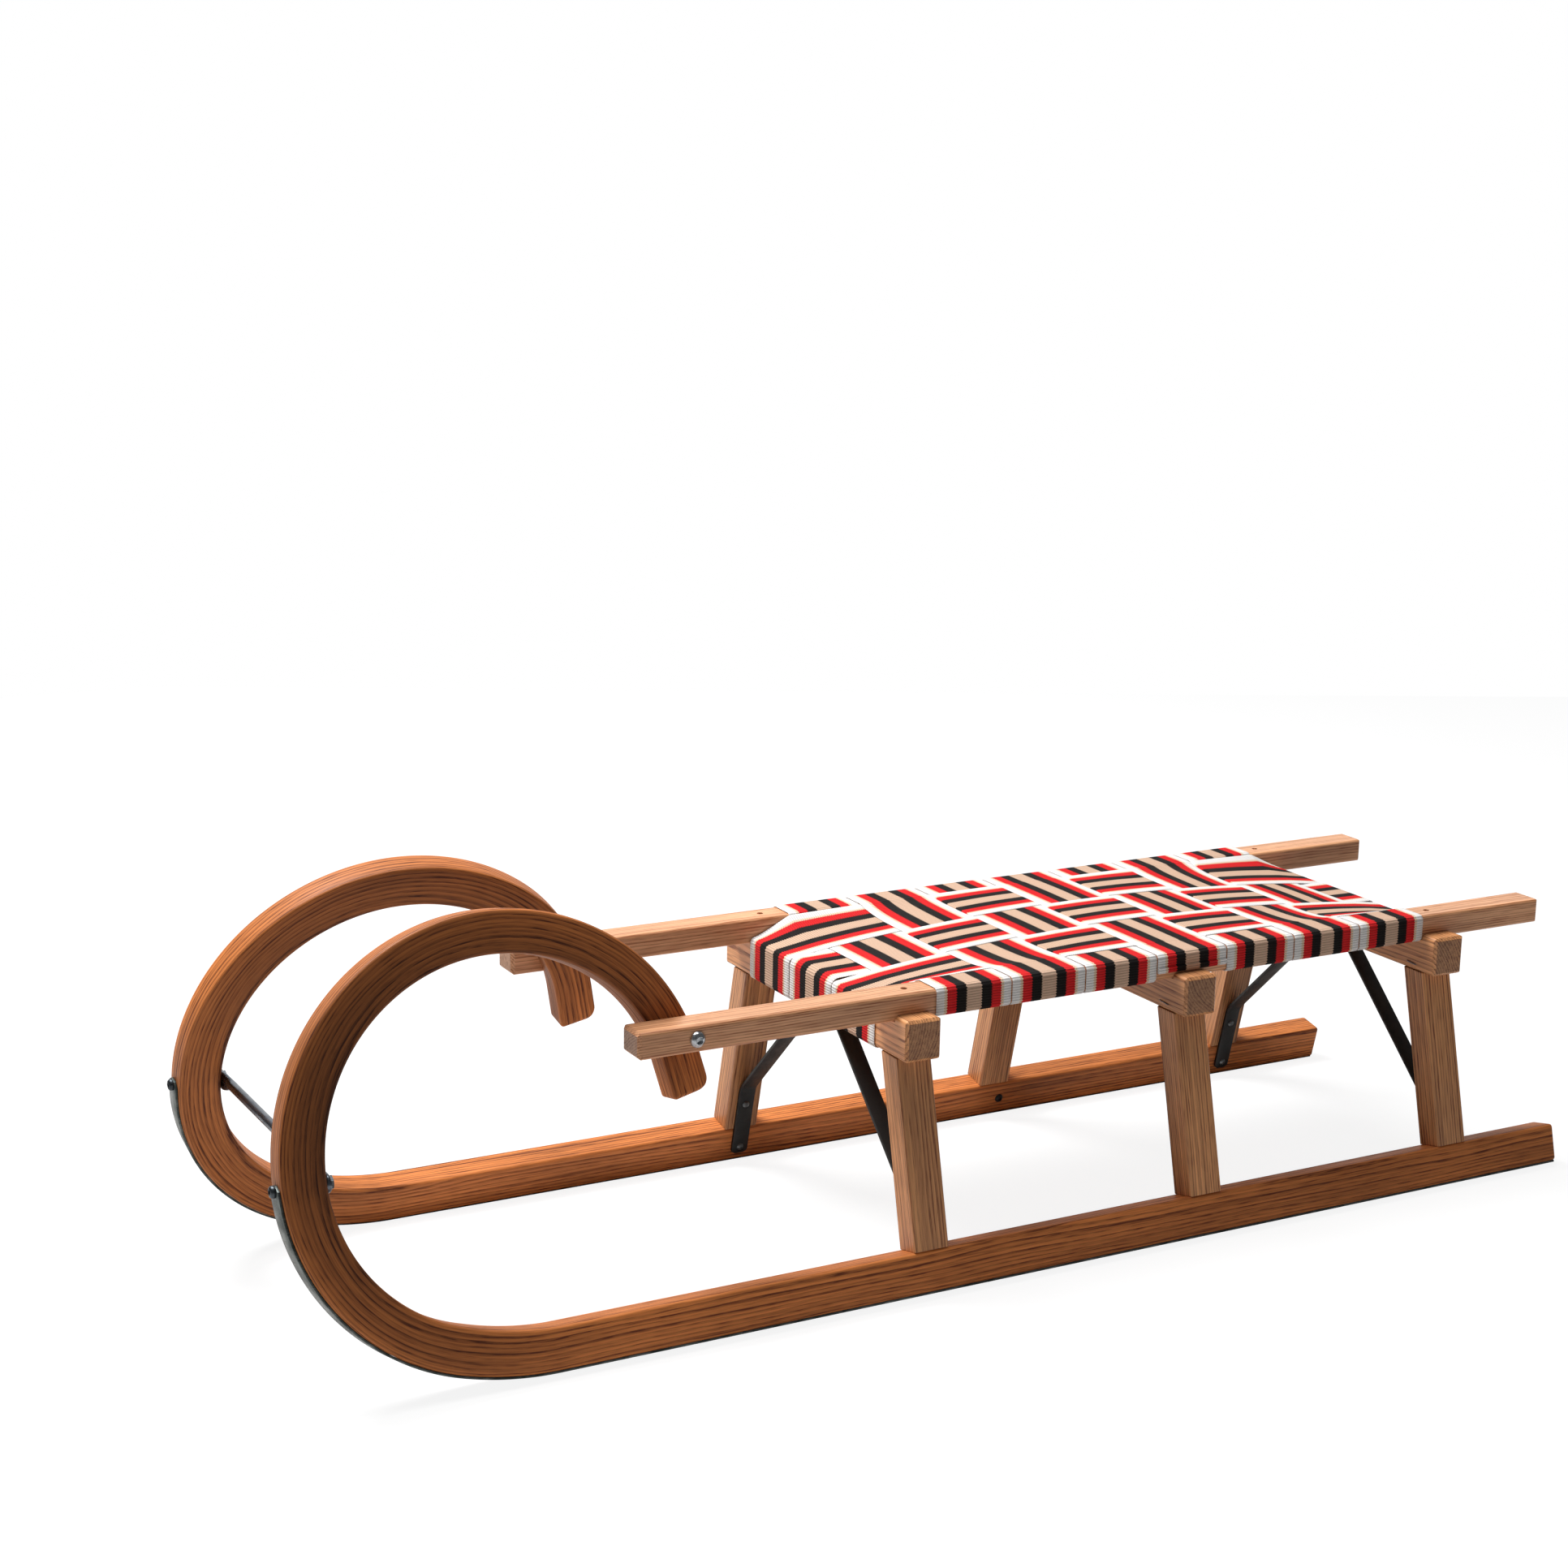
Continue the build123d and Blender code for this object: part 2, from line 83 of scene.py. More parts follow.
# The bend is a chain of arcs: lift, toe, brow, crown and nape, then a straight tip.
horn_top = height_up(rail_high[2] + horn_rise)
lift_radius, brow_radius, crown_radius, nape_radius = np.array([280, 178, 186, 157]) * mm
lift_turn, toe_turn, brow_turn, crown_turn, nape_turn = np.radians([16, 74, 90, 35, 42])
toe_radius = (horn_top - brow_radius - lift_radius * (1 - np.cos(lift_turn))) / np.cos(lift_turn)
bend_start = runner_front - lift_radius * np.sin(lift_turn) - toe_radius * (1 - np.sin(lift_turn))
radii = np.array([lift_radius, toe_radius, brow_radius, crown_radius, nape_radius])
turns = np.array([lift_turn, toe_turn, brow_turn, crown_turn, nape_turn])
headings = np.cumsum(np.r_[0, turns])
nape_height = np.sum(radii * -np.diff(np.cos(headings)))
tip_length = (nape_height - height_up(rail_low[2] - tip_drop)) / -np.sin(headings[-1])
arc_ends = np.cumsum(np.r_[0, radii * turns, tip_length])
bend_length = arc_ends[-1]
thicknesses = np.array([33.5, 35.5, 34.5, 34, 33.25, 32.5, 32.5]) * mm

# The heading grows evenly along each arc, and the place is its running sum.
line_run = np.linspace(0, bend_length, 4000)
line_heading = np.interp(line_run, arc_ends, np.r_[headings, headings[-1]])
half_heading = (line_heading[1:] + line_heading[:-1]) / 2
line_x = np.r_[0, np.cumsum(np.cos(half_heading))] * line_run[1] + bend_start
line_h = np.r_[0, np.cumsum(np.sin(half_heading))] * line_run[1]

# The horn draws in with a power of the run, and meets the rail at the rail's middle.
draw_power = 1.2
rail_middle = (rail_low[2] + rail_high[2]) / 2
past_top = np.argmax(line_h) + np.argmax(
    line_h[np.argmax(line_h):] < height_up(rail_middle) + runner_width / 2 * np.tan(lean))
plane_y = (foot + up * height_up(rail_middle))[1]
tip_draw = (plane_y - rail_low[1] - rail_bedding) / (
    line_run[past_top] / bend_length) ** draw_power


def unit(vectors):
    """Vectors, or one vector, each divided by its length."""
    return vectors / np.linalg.norm(vectors, axis=-1, keepdims=True)


def swept(centre, ring_a, ring_b, a, b):
    """Rings about a line of centres: centre + ring_a * a + ring_b * b at every row."""
    return (centre[:, None] + ring_a[..., None] * np.atleast_2d(a)[:, None]
            + ring_b[..., None] * np.atleast_2d(b)[:, None])


def bent(run, depth, side):
    """Points of the left runner's bent frame.

    A point lies depth in from the outer face of the bend and side in from the outer side
    face, at a run along the bend that is negative on the straight. Its place is the arc's
    point + depth * (the heading turned a quarter) + (draw + side) * (inwards), where the
    draw is tip_draw * (run / bend length) ** draw_power.
    """
    bend_run = np.maximum(run, 0)
    heading = np.interp(bend_run, line_run, line_heading)
    x = np.where(run < 0, bend_start + run, np.interp(bend_run, line_run, line_x))
    h = np.interp(bend_run, line_run, line_h)
    draw = tip_draw * (bend_run / bend_length) ** draw_power
    slope = draw_power * draw / np.maximum(bend_run, mm)
    along = (np.cos(heading)[:, None] * forward + np.sin(heading)[:, None] * up
             + slope[:, None] * inward)
    hollow = -np.sin(heading)[:, None] * forward + np.cos(heading)[:, None] * up
    outer = foot + x[:, None] * forward + h[:, None] * up + draw[:, None] * inward
    return swept(outer, depth, side, hollow, unit(np.cross(along, hollow)))


sharp_edge = np.radians(38)
nearly_round = 0.98               # corner radius of a round section, of half its width


def rounded_ring(half_a, half_b, radius, steps=6):
    """Ring of a rounded rectangle for each row, as two arrays of rows by ring points.

    Each size is one number or one for each row. At angle t of a quarter, a point is a
    corner's centre + radius * (cos t, sin t).
    """
    angle = np.radians((np.arange(4)[:, None] * 90 + np.linspace(0, 90, steps)).ravel())
    sign_a, sign_b = (np.repeat(np.array(s), steps) for s in ([1, -1, -1, 1], [1, 1, -1, -1]))
    half_a, half_b, radius = (np.atleast_1d(v)[:, None] for v in (half_a, half_b, radius))
    return (sign_a * (half_a - radius) + radius * np.cos(angle),
            sign_b * (half_b - radius) + radius * np.sin(angle))


def rounded_ends(start, end, radius, spacing, steps=6):
    """Places along a piece with rounded ends, and how far each ring is drawn in there.

    Within the radius of an end, at angle t, the ring stands radius * (1 - sin t) from the
    end and is drawn in by radius * (1 - cos t); the last ring closes in flat.
    """
    t = np.radians(np.linspace(90, 0, steps))
    near, drawn = radius * (1 - np.sin(t)), radius * (1 - np.cos(t))
    count = max(2, int((end - start - 2 * radius) / spacing))
    straight = np.linspace(start + radius, end - radius, count + 1)[1:-1]
    places = np.r_[start, start + near, straight, end - near[::-1], end]
    inset = np.r_[drawn[0] + 0.6 * mm, drawn, 0 * straight, drawn[::-1], drawn[0] + 0.6 * mm]
    return places, inset


def placed(name, data):
    """A new object of the scene with this data."""
    made = bpy.data.objects.new(name, data)
    bpy.context.scene.collection.objects.link(made)
    return made


def grid_piece(name, points, finish, slot, **fields):
    """Piece from a grid of points, rows along it and columns round it.

    A face joins neighbours in row and column, the last column joins the first, and one
    face closes each end. All are turned over if the volume that they enclose is negative.
    Each field is a vector for every point, kept for the materials.
    """
    rows, columns = points.shape[:2]
    index = np.arange(rows * columns).reshape(rows, columns)
    following = np.roll(index, -1, axis=1)
    quads = np.stack([index[:-1], following[:-1], following[1:], index[1:]], -1).reshape(-1, 4)
    flat = points.reshape(-1, 3)
    a, b, c, d = (flat[quads[:, i]] - flat.mean(0) for i in range(4))
    volume = np.sum(np.cross(b - a, c - a) * a) + np.sum(np.cross(c - a, d - a) * a)
    faces = quads.tolist() + [index[0][::-1].tolist(), index[-1].tolist()]
    if volume < 0:
        faces = [face[::-1] for face in faces]
    mesh = bpy.data.meshes.new(name)
    mesh.from_pydata(flat, [], faces)
    mesh.polygons.foreach_set("use_smooth", np.ones(len(faces), bool))
    mesh.set_sharp_from_angle(angle=sharp_edge)
    for field, values in fields.items():
        layer = mesh.attributes.new(field, "FLOAT_VECTOR", "POINT")
        layer.data.foreach_set("vector", values.reshape(-1).astype(np.float32))
    mesh.materials.append(finish)
    piece = placed(name, mesh)
    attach(piece, "root")
    return piece


def linear(hex_colour):
    """Linear colour of an sRGB hex value: c / 12.92, or ((c + 0.055) / 1.055) ** 2.4."""
    c = np.array([int(hex_colour[i:i + 2], 16) for i in (0, 2, 4)]) / 255
    return (*np.where(c <= 0.04045, c / 12.92, ((c + 0.055) / 1.055) ** 2.4).tolist(), 1.0)


def add_node(tree, kind, inputs=(), **settings):
    """A node with its settings; each input is a constant, or a socket to link from."""
    node = tree.nodes.new("ShaderNode" + kind)
    for setting, value in settings.items():
        setattr(node, setting, value)
    for key, value in dict(inputs).items():
        if isinstance(value, bpy.types.NodeSocket):
            tree.links.new(value, node.inputs[key])
        else:
            node.inputs[key].default_value = value
    return node


def maths(tree, operation, *values):
    """Output of a Math node with this operation; each value is a number or a socket."""
    return add_node(tree, "Math", dict(enumerate(values)), operation=operation).outputs[0]


def remap(tree, value, low, high, to_low=0.0, to_high=1.0):
    """Output of a Map Range node, which takes low and high to to_low and to_high."""
    return add_node(tree, "MapRange",
                    dict(enumerate((value, low, high, to_low, to_high)))).outputs[0]


def stretched_noise(tree, place, scales, detail):
    """Noise with scales per metre on each axis, so it is long where the scale is small."""
    grid = add_node(tree, "VectorMath", {0: place, 1: scales}, operation="MULTIPLY")
    return add_node(tree, "TexNoise", {"Vector": grid.outputs[0], "Scale": 1,
                                       "Detail": detail}).outputs[0]


def mixed(tree, share, hex_colours):
    """Output of a Mix node: the first of two hex colours, with a share of the second."""
    return add_node(tree, "Mix", {0: share, **dict(enumerate(map(linear, hex_colours), 6))},
                    data_type="RGBA").outputs[2]


def show(tree, shader):
    """Makes this shader the look of the tree's material."""
    add_node(tree, "OutputMaterial", {"Surface": shader.outputs[0]})


def new_material(name):
    """A material with its node tree, which is empty."""
    material = bpy.data.materials.new(name)
    material.use_nodes = True
    material.node_tree.nodes.clear()
    return material, material.node_tree


def ash(name, pale, dark, ring=2.6 * mm, gloss=0.40, shine=0.5):
    """Ash under a thin clear finish.

    Ash is ring-porous: each year has a band of open pores, which reads as a dark line
    with a sharp edge and a soft edge, and some years read darker than others. The grain
    attribute's x runs along the fibres, so the lines follow a bent piece round. The x of
    the attribute that darkens the wood is the share of light that a part has lost: real
    stain on end grain, and painted shade on the bent horns.
    """
    material, tree = new_material(name)
    grain = add_node(tree, "Attribute", attribute_name="grain").outputs["Vector"]

    def noise(scales, detail):
        """Noise stretched along the fibres, with scales along and across them."""
        return stretched_noise(tree, grain, scales, detail)

    # rings wander by a few of their own widths in a foot's length, and some lie closer
    place = add_node(tree, "SeparateXYZ", {0: grain})
    squares = maths(tree, "ADD", maths(tree, "POWER", place.outputs[1], 2),
                    maths(tree, "POWER", place.outputs[2], 2))
    years = maths(tree, "MULTIPLY", maths(tree, "SQRT", squares), 1 / ring)
    years = maths(tree, "MULTIPLY_ADD", noise((3, 22, 22), 2), 4.5, years)
    years = maths(tree, "MULTIPLY_ADD", noise((7, 120, 120), 1), 0.7, years)
    early = add_node(tree, "ValToRGB", {0: maths(tree, "FRACT", years)})
    early.color_ramp.interpolation = "EASE"
    early.color_ramp.elements[0].color = (0.1, 0.1, 0.1, 1)
    early.color_ramp.elements[1].position = 0.95
    early.color_ramp.elements[1].color = (0, 0, 0, 1)
    for at, level in ((0.12, 1.0), (0.34, 0.7), (0.6, 0.2)):
        early.color_ramp.elements.new(at).color = (level, level, level, 1)
    chance = add_node(tree, "TexWhiteNoise", {"W": maths(tree, "FLOOR", years)},
                      noise_dimensions="1D")
    weight = remap(tree, chance.outputs["Value"], 0, 1, 0.4, 1.0)
    line = maths(tree, "MULTIPLY", early.outputs[0], weight)
    # pores, drawn about 1 mm wide, several times as wide as real ones, so that they show
    pore = remap(tree, noise((45, 1000, 1000), 3), 0.46, 0.64)
    # streaks up to three millimetres wide and a hand or two long
    marks = maths(tree, "MULTIPLY_ADD", line, maths(tree, "MULTIPLY_ADD", pore, 0.45, 0.55),
                  maths(tree, "MULTIPLY", pore, 0.16))
    marks = maths(tree, "MULTIPLY_ADD", noise((4, 330, 330), 3), 1.1, marks)
    colour = mixed(tree, remap(tree, marks, 0.42, 1.28), (pale, dark))
    # tone drifts over a piece, as heartwood and sapwood do
    drift = remap(tree, noise((5, 22, 22), 1), 0.3, 0.7, 0.80, 1.16)
    # darkening: real stain on end grain; painted shade on the horns' bends, lighter on their
    # outer faces, as lit
    stain = add_node(tree, "Attribute", attribute_name="stain")
    kept_light = maths(tree, "SUBTRACT", 1.0, stain.outputs["Fac"])
    tone = maths(tree, "MULTIPLY", drift, kept_light)
    toned = add_node(tree, "HueSaturation", {"Value": tone, "Color": colour})
    rough = remap(tree, marks, 0.4, 1.3, gloss, gloss + 0.16)
    open_pore = maths(tree, "MULTIPLY", pore, early.outputs[0])
    bump = add_node(tree, "Bump", {"Height": maths(tree, "MULTIPLY", open_pore, -1.0),
                                   "Strength": 0.35, "Distance": 0.15 * mm})
    shader = add_node(tree, "BsdfPrincipled", {
        "Base Color": toned.outputs[0], "Roughness": rough,
        "Normal": bump.outputs[0], "IOR": 1.5, "Specular IOR Level": shine,
        "Coat Weight": 0.3 * shine, "Coat Roughness": 0.3})
    show(tree, shader)
    return material


# oiled and steamed: a warm orange brown with dark years, and hardly any shine
bent_ash = ash("steam_bent_oiled_ash", "E48B4B", "65321A", gloss=0.5, shine=0.2)

left_to_right = np.array([1, -1, 1])
both_sides = (("left", 1), ("right", left_to_right))

# Rows follow the run from the rear end, along the straight and round the horn.
run, inset = rounded_ends(runner_rear - bend_start, bend_length, end_round, row_spacing)
# At the tip the outer corner is sawn off round, so rows there follow its quarter circle,
# which stops just short of the end.
corner_rows = bend_length - tip_round * (1 - np.sin(np.radians(np.arange(2, 44, 6))))
order = np.argsort(np.r_[run, corner_rows], kind="stable")
run, inset = np.r_[run, corner_rows][order], np.r_[inset, 0 * corner_rows][order]
past = np.clip(run - bend_length + tip_round, 0, 0.97 * tip_round)
shaved = tip_round - np.sqrt(tip_round ** 2 - past ** 2)
thickness = np.interp(run, arc_ends, thicknesses) - shaved
ring_a, ring_b = rounded_ring(thickness / 2 - inset, runner_width / 2 - inset,
                              np.maximum(arris - inset, 1 * mm))
depth = ring_a + (thickness / 2 + shaved)[:, None]
side = ring_b + runner_width / 2
horn = bent(run, depth, side)
# The horn is bedded flat against the rail, where it passes behind it.
bedded = (run[:, None] > arc_ends[3]) & (horn[..., 2] > rail_low[2] - bedding_margin)
bedded &= horn[..., 2] < rail_high[2] + bedding_margin
rail_side_y = rail_low[1] - bedding_gap
horn[..., 1] = np.where(bedded, np.minimum(horn[..., 1], rail_side_y), horn[..., 1])
fibre = np.stack([run[:, None] + 0 * depth, depth, side], -1)
# The bends are painted darker, as shade, the left one more than the right. The
# outer face of each bend is painted paler again, as light falling on it.
shade_kept = rubbed_stain + (1 - rubbed_stain) * np.clip(depth / lit_face_depth, 0, 1)
for name, mirror, heart, stains in (
        ("left", 1, (0.7, -0.046, 0.031), (0, 0.15, 0.68, 0.50, 0.45, 0.30, 0)),
        ("right", left_to_right, (2.3, -0.052, -0.064), (0, 0.12, 0.30, 0.45, 0.45, 0.20, 0.05))):
    stain = (np.interp(run, arc_ends, stains)[:, None] * shade_kept)[..., None] + 0 * horn
    runner = grid_piece(f"runner_{name}_bent_ash", horn * mirror, bent_ash, "runner_wood",
                        grain=fibre + heart, stain=stain)
    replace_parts(runner, f"runner_{name}")

# ---- soles -------------------------------------------------------------------------------
# A flat strip of mill steel is screwed under each runner and bent up with it round the
# toe, to just above the horn bolt. Snow and storage leave it patchy, dark and bright.

bolt_level = sum(corner.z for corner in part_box("horn_bolt_left")) / 2
sole_above_bolt = 5 * mm
toe_draw = 6 * mm                 # how far the runner has drawn in by there
sole_side = runner_width / 2 + toe_draw
sole_end = np.interp(height_up(bolt_level + sole_above_bolt) + sole_side * np.tan(lean),
                     line_h[:np.argmax(line_h)], line_run[:np.argmax(line_h)])
sole_tongue = 7 * mm              # rounded end of the strip
strip_arris, strip_edge = 0.4 * mm, 0.3 * mm   # its eased ends and long edges


def steel(name, bare, worn, metallic=1.0, rough=0.42, wear=0.5, brushing=(20, 900, 900)):
    """Steel: fine marks, whose noise has the brushing's scales, and worn patches."""
    material, tree = new_material(name)
    place = add_node(tree, "TexCoord")
    fine = stretched_noise(tree, place.outputs["Object"], brushing, 2)
    patch = add_node(tree, "TexNoise", {"Vector": place.outputs["Object"], "Scale": 70,
                                        "Detail": 4})
    both = maths(tree, "MULTIPLY_ADD", fine, 0.5, patch.outputs[0])
    colour = mixed(tree, remap(tree, both, 0.6, 0.95, 0.0, wear), (bare, worn))
    roughness = remap(tree, both, 0.5, 1.0, rough + 0.1, rough - 0.08)
    bump = add_node(tree, "Bump", {"Height": fine, "Strength": 0.12, "Distance": 0.05 * mm})
    shader = add_node(tree, "BsdfPrincipled", {
        "Base Color": colour, "Metallic": metallic, "Roughness": roughness,
        "Normal": bump.outputs[0]})
    show(tree, shader)
    return material


def tongue_half(width, inset, tongue, narrowing):
    """Half a strip's width, drawn in over the share of its rounded end that is passed.

    It is width * (1/2 - narrowing * (1 - (1 - 0.98 * tongue ** 2) ** (1/2))) - inset.
    """
    return width * (0.5 - narrowing * (1 - np.sqrt(1 - 0.98 * tongue ** 2))) - inset


# dark grey, with duller and brighter patches
mill_steel = steel("mill_steel_strip", "3F4644", "8E9492")

run, inset = rounded_ends(runner_rear - bend_start, sole_end, strip_arris, row_spacing)
tongue = np.clip((run - sole_end + sole_tongue) / sole_tongue, 0, 1)
half_width = tongue_half(sole_width, inset, tongue, narrowing=0.45)
ring_a, ring_b = rounded_ring(sole_thickness / 2 - inset, half_width, strip_edge, 3)
strip = bent(run, ring_a - sole_gap - sole_thickness / 2, ring_b + runner_width / 2)
for name, mirror in both_sides:
    sole = grid_piece(f"sole_strip_{name}", strip * mirror, mill_steel, "sole_steel")
    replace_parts(sole, f"sole_band_{name}")

# ---- legs --------------------------------------------------------------------------------
# Six ash legs are tenoned and glued into the runners and up into the crossbars. They lean
# with the runners and lie flush with them, and their arrises are eased.

sawn_angle = np.radians(28)       # faces that meet at more than this meet at a sharp edge
end_grain_stain = 0.4


def softened(node, name, width, finish, origin, along, across, heart, snug=()):
    """Copy of a sawn CAD piece with its sharp edges rounded over to this width.

    The grain attribute is the place from an origin, measured along the fibres, across
    them and square to both, so the year rings are the same on every face. Edges across
    the fibres at a snug distance from the origin, where another piece fits, are rounded
    by only a tenth of the width. End grain gets a stain of its own.
    """
    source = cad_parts[node].data
    mesh = source.copy()
    mesh.name = name
    work = bmesh.new()
    work.from_mesh(mesh)
    bmesh.ops.remove_doubles(work, verts=work.verts, dist=0.001 * mm)
    weight = work.edges.layers.float.new("bevel_weight_edge")
    for edge in work.edges:
        if edge.calc_face_angle(0) > sawn_angle:
            ends = [abs((np.array(v.co) - origin) @ np.array(along, float)) for v in edge.verts]
            fitted = any(max(abs(end - at) for end in ends) < mm for at in snug)
            edge[weight] = 0.1 if fitted else 1
    work.to_mesh(mesh)
    work.free()
    places = np.zeros(len(mesh.vertices) * 3, np.float32)
    mesh.vertices.foreach_get("co", places)
    axes = np.array([along, across, np.cross(along, across)], float)
    fibre = (places.reshape(-1, 3) - origin) @ axes.T + heart
    mesh.attributes.new("grain", "FLOAT_VECTOR", "POINT").data.foreach_set(
        "vector", fibre.reshape(-1).astype(np.float32))
    # end grain soaks up more of the finish and is darker
    normals = np.zeros(len(mesh.polygons) * 3, np.float32)
    corners = np.zeros(len(mesh.polygons), np.int32)
    mesh.polygons.foreach_get("normal", normals)
    mesh.polygons.foreach_get("loop_total", corners)
    end_grain = end_grain_stain * (np.abs(normals.reshape(-1, 3) @ axes[0]) > 0.8)
    mesh.attributes.new("stain", "FLOAT", "CORNER").data.foreach_set(
        "value", np.repeat(end_grain, corners).astype(np.float32))
    mesh.polygons.foreach_set("use_smooth", np.ones(len(mesh.polygons), bool))
    mesh.materials.clear()
    mesh.materials.append(finish)
    piece = placed(name, mesh)
    bevel = piece.modifiers.new("eased", "BEVEL")
    bevel.width = width
    bevel.segments = 3
    bevel.limit_method = "WEIGHT"
    shading = piece.modifiers.new("shading", "WEIGHTED_NORMAL")
    shading.keep_sharp = True
    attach(piece, "root")
    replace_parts(piece, node)
    return piece


# clear varnish over pale wood: honey colour, fine brown years and a soft gleam
pale_ash = ash("clear_varnished_ash", "F0B384", "9C5A2F", ring=2.0 * mm)
# a browner plank
leg_ash = ash("clear_varnished_ash_legs", "E4A36B", "78401F", ring=2.2 * mm)
places_along = ("front", "middle", "rear")
bar_x = [sum(corner.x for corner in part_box(f"crossbar_{place}")) / 2 for place in places_along]

end_bars = (("front", bar_x[0]), ("rear", bar_x[2]))

leg_hearts = iter(((0.1, -0.03, 0.05), (0.5, 0.04, 0.045), (0.9, -0.05, -0.03),
                   (1.3, 0.034, -0.05), (1.7, -0.041, 0.04), (2.1, 0.05, 0.03)))
for place, x in zip(places_along, bar_x):
    for name, mirror in both_sides:
        softened(f"leg_{place}_{name}", f"leg_{place}_{name}_ash", 0.7 * mm, leg_ash,
                 (foot + x * forward) * mirror, up * mirror, forward, next(leg_hearts))

# ---- crossbars ---------------------------------------------------------------------------
# Three heavier ash crossbars hold the legs and carry the rails in shallow notches. Their
# ends stand out past the rails and are rounded over.

# a redder plank with wider years
warm_ash = ash("clear_varnished_ash_crossbars", "E8A56C", "7E4524", ring=2.5 * mm)
bar_half = (bar_high[0] - bar_low[0]) / 2
bar_hearts = ((0.2, -0.055, 0.03), (0.8, 0.045, 0.05), (1.5, -0.06, -0.02))
for place, x, heart in zip(places_along, bar_x, bar_hearts):
    softened(f"crossbar_{place}", f"crossbar_{place}_ash", 2 * mm, warm_ash,
             np.array([x, 0, bar_low[2]]), (0, 1, 0), (1, 0, 0), heart,
             snug=(rail_low[1], rail_high[1]))

# ---- side rails --------------------------------------------------------------------------
# Two straight pale ash rails run the length of the seat and beyond it. Each is screwed
# down into the front and rear crossbars and bolted through the tip of its horn.

for name, mirror, heart in (("left", 1, (0.4, -0.05, 0.045)),
                            ("right", left_to_right, (1.9, 0.06, 0.04))):
    softened(f"side_rail_{name}", f"side_rail_{name}_ash", 1.2 * mm, pale_ash,
             np.array([0, rail_low[1], rail_low[2]]) * mirror, (1, 0, 0), (0, 1, 0), heart)

# ---- braces ------------------------------------------------------------------------------
# Four flat steel braces, enamelled satin black, stiffen the front and rear legs. Each is
# screwed up into the crossbar and riveted to the leg and to the runner below it.

brace_width, brace_thickness, brace_bend = 16 * mm, 3 * mm, 18 * mm
brace_meet, brace_foot, brace_end = 24 * mm, 19 * mm, 8 * mm
brace_tongue, brace_rows = 5 * mm, 2 * mm      # rounded end; spacing along the brace
brace_arris, brace_edge = 0.5 * mm, 0.6 * mm   # eased ends and long edges
brace_slope = np.radians(44)


def rounded_line(points, corner_radii, spacing):
    """Line of straight runs and arcs through corners, as points, directions and run.

    An arc's point is its centre + (sin((1 - t) * turn) * start + sin(t * turn) * end) /
    sin(turn), where start and end point from the centre to the arc's two ends.
    """
    points = np.array(points, float)
    pieces = [points[:1]]
    t = np.linspace(0, 1, 25)[:, None]
    for before, corner, after, radius in zip(points, points[1:], points[2:], corner_radii):
        a, b = unit(before - corner), unit(after - corner)
        half = np.arccos(a @ b) / 2
        centre = corner + unit(a + b) * radius / np.sin(half)
        start, end = (corner + v * radius / np.tan(half) - centre for v in (a, b))
        turn = np.pi - 2 * half
        pieces.append(centre + (np.sin((1 - t) * turn) * start + np.sin(t * turn) * end)
                      / np.sin(turn))
    line = np.concatenate(pieces + [points[-1:]])
    reach = np.r_[0, np.cumsum(np.linalg.norm(np.diff(line, axis=0), axis=1))]
    run = np.linspace(0, reach[-1], max(3, int(reach[-1] / spacing)))
    place = np.stack([np.interp(run, reach, axis) for axis in line.T], -1)
    return place, unit(np.gradient(place, axis=0)), run


def in_plane(h, side):
    """Level and distance from the middle of a point of the left leaning plane."""
    return (foot + up * h + inward * side)[1:]


# a near black that only shows its shape by a broad soft gleam
black_enamel = steel("satin_black_enamel_on_steel", "101111", "1D1F1F", metallic=0.0, rough=0.5,
                     brushing=(500, 500, 500))
leg_face_y = in_plane(height_up(bar_low[2]) + runner_width * np.tan(lean), runner_width)[0]
brace_run = (leg_face_y - brace_meet) / (np.cos(brace_slope) - np.sin(brace_slope)
                                         * np.tan(lean))
brace_line = [(brace_meet - brace_foot, bar_low[2]), (brace_meet, bar_low[2]),
              (brace_meet + brace_run * np.cos(brace_slope),
               bar_low[2] - brace_run * np.sin(brace_slope)), in_plane(brace_end, runner_width)]
place, direction, run = rounded_line(brace_line, [brace_bend] * 2, brace_rows)
outwards = np.stack([0 * run, direction[:, 1], -direction[:, 0]], -1)
inset = np.interp(run, [0, brace_arris, run[-1] - brace_arris, run[-1]],
                  [brace_arris, 0, 0, brace_arris])
past_tongue = np.abs(run - run[-1] / 2) - run[-1] / 2 + brace_tongue
tongue = np.clip(past_tongue / brace_tongue, 0, 1)
ring_a, ring_b = rounded_ring(brace_thickness / 2 - inset,
                              tongue_half(brace_width, inset, tongue, narrowing=0.225),
                              brace_edge, 4)
for place_name, x in end_bars:
    centre = np.column_stack([x + 0 * run, place]) + outwards * brace_thickness / 2
    strap = swept(centre, ring_a, ring_b, outwards, forward)
    for name, mirror in both_sides:
        brace = grid_piece(f"brace_{place_name}_{name}_enamelled", strap * mirror, black_enamel,
                           "black_steel")
        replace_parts(brace, f"brace_{place_name}_{name}")


def turned(name, profile, at, axis, finish, slot, columns=36):
    """Turned or forged fastener: a profile of (along, radius, sides) about an axis.

    A row with sides is a polygon: its radius is divided by cos of the angle from the
    middle of the nearest side. Other rows are round.
    """
    along, radius, sides = (np.array(v, float)[:, None] for v in zip(*profile))
    angle = np.linspace(0, 2 * np.pi, columns, endpoint=False)
    pitch = 2 * np.pi / np.maximum(sides, 1)
    polygon = np.cos((angle + pitch / 2) % pitch - pitch / 2)
    radius = radius * mm / np.where(sides > 0, polygon, 1)
    axis = unit(np.array(axis, float))
    a = unit(np.cross(axis, (0, 0, 1) if abs(axis[2]) < 0.9 else (1, 0, 0)))
    points = swept(np.array(at, float) + along * mm * axis, radius * np.cos(angle),
                   radius * np.sin(angle), a, np.cross(axis, a))
    return grid_piece(name, points, finish, slot)


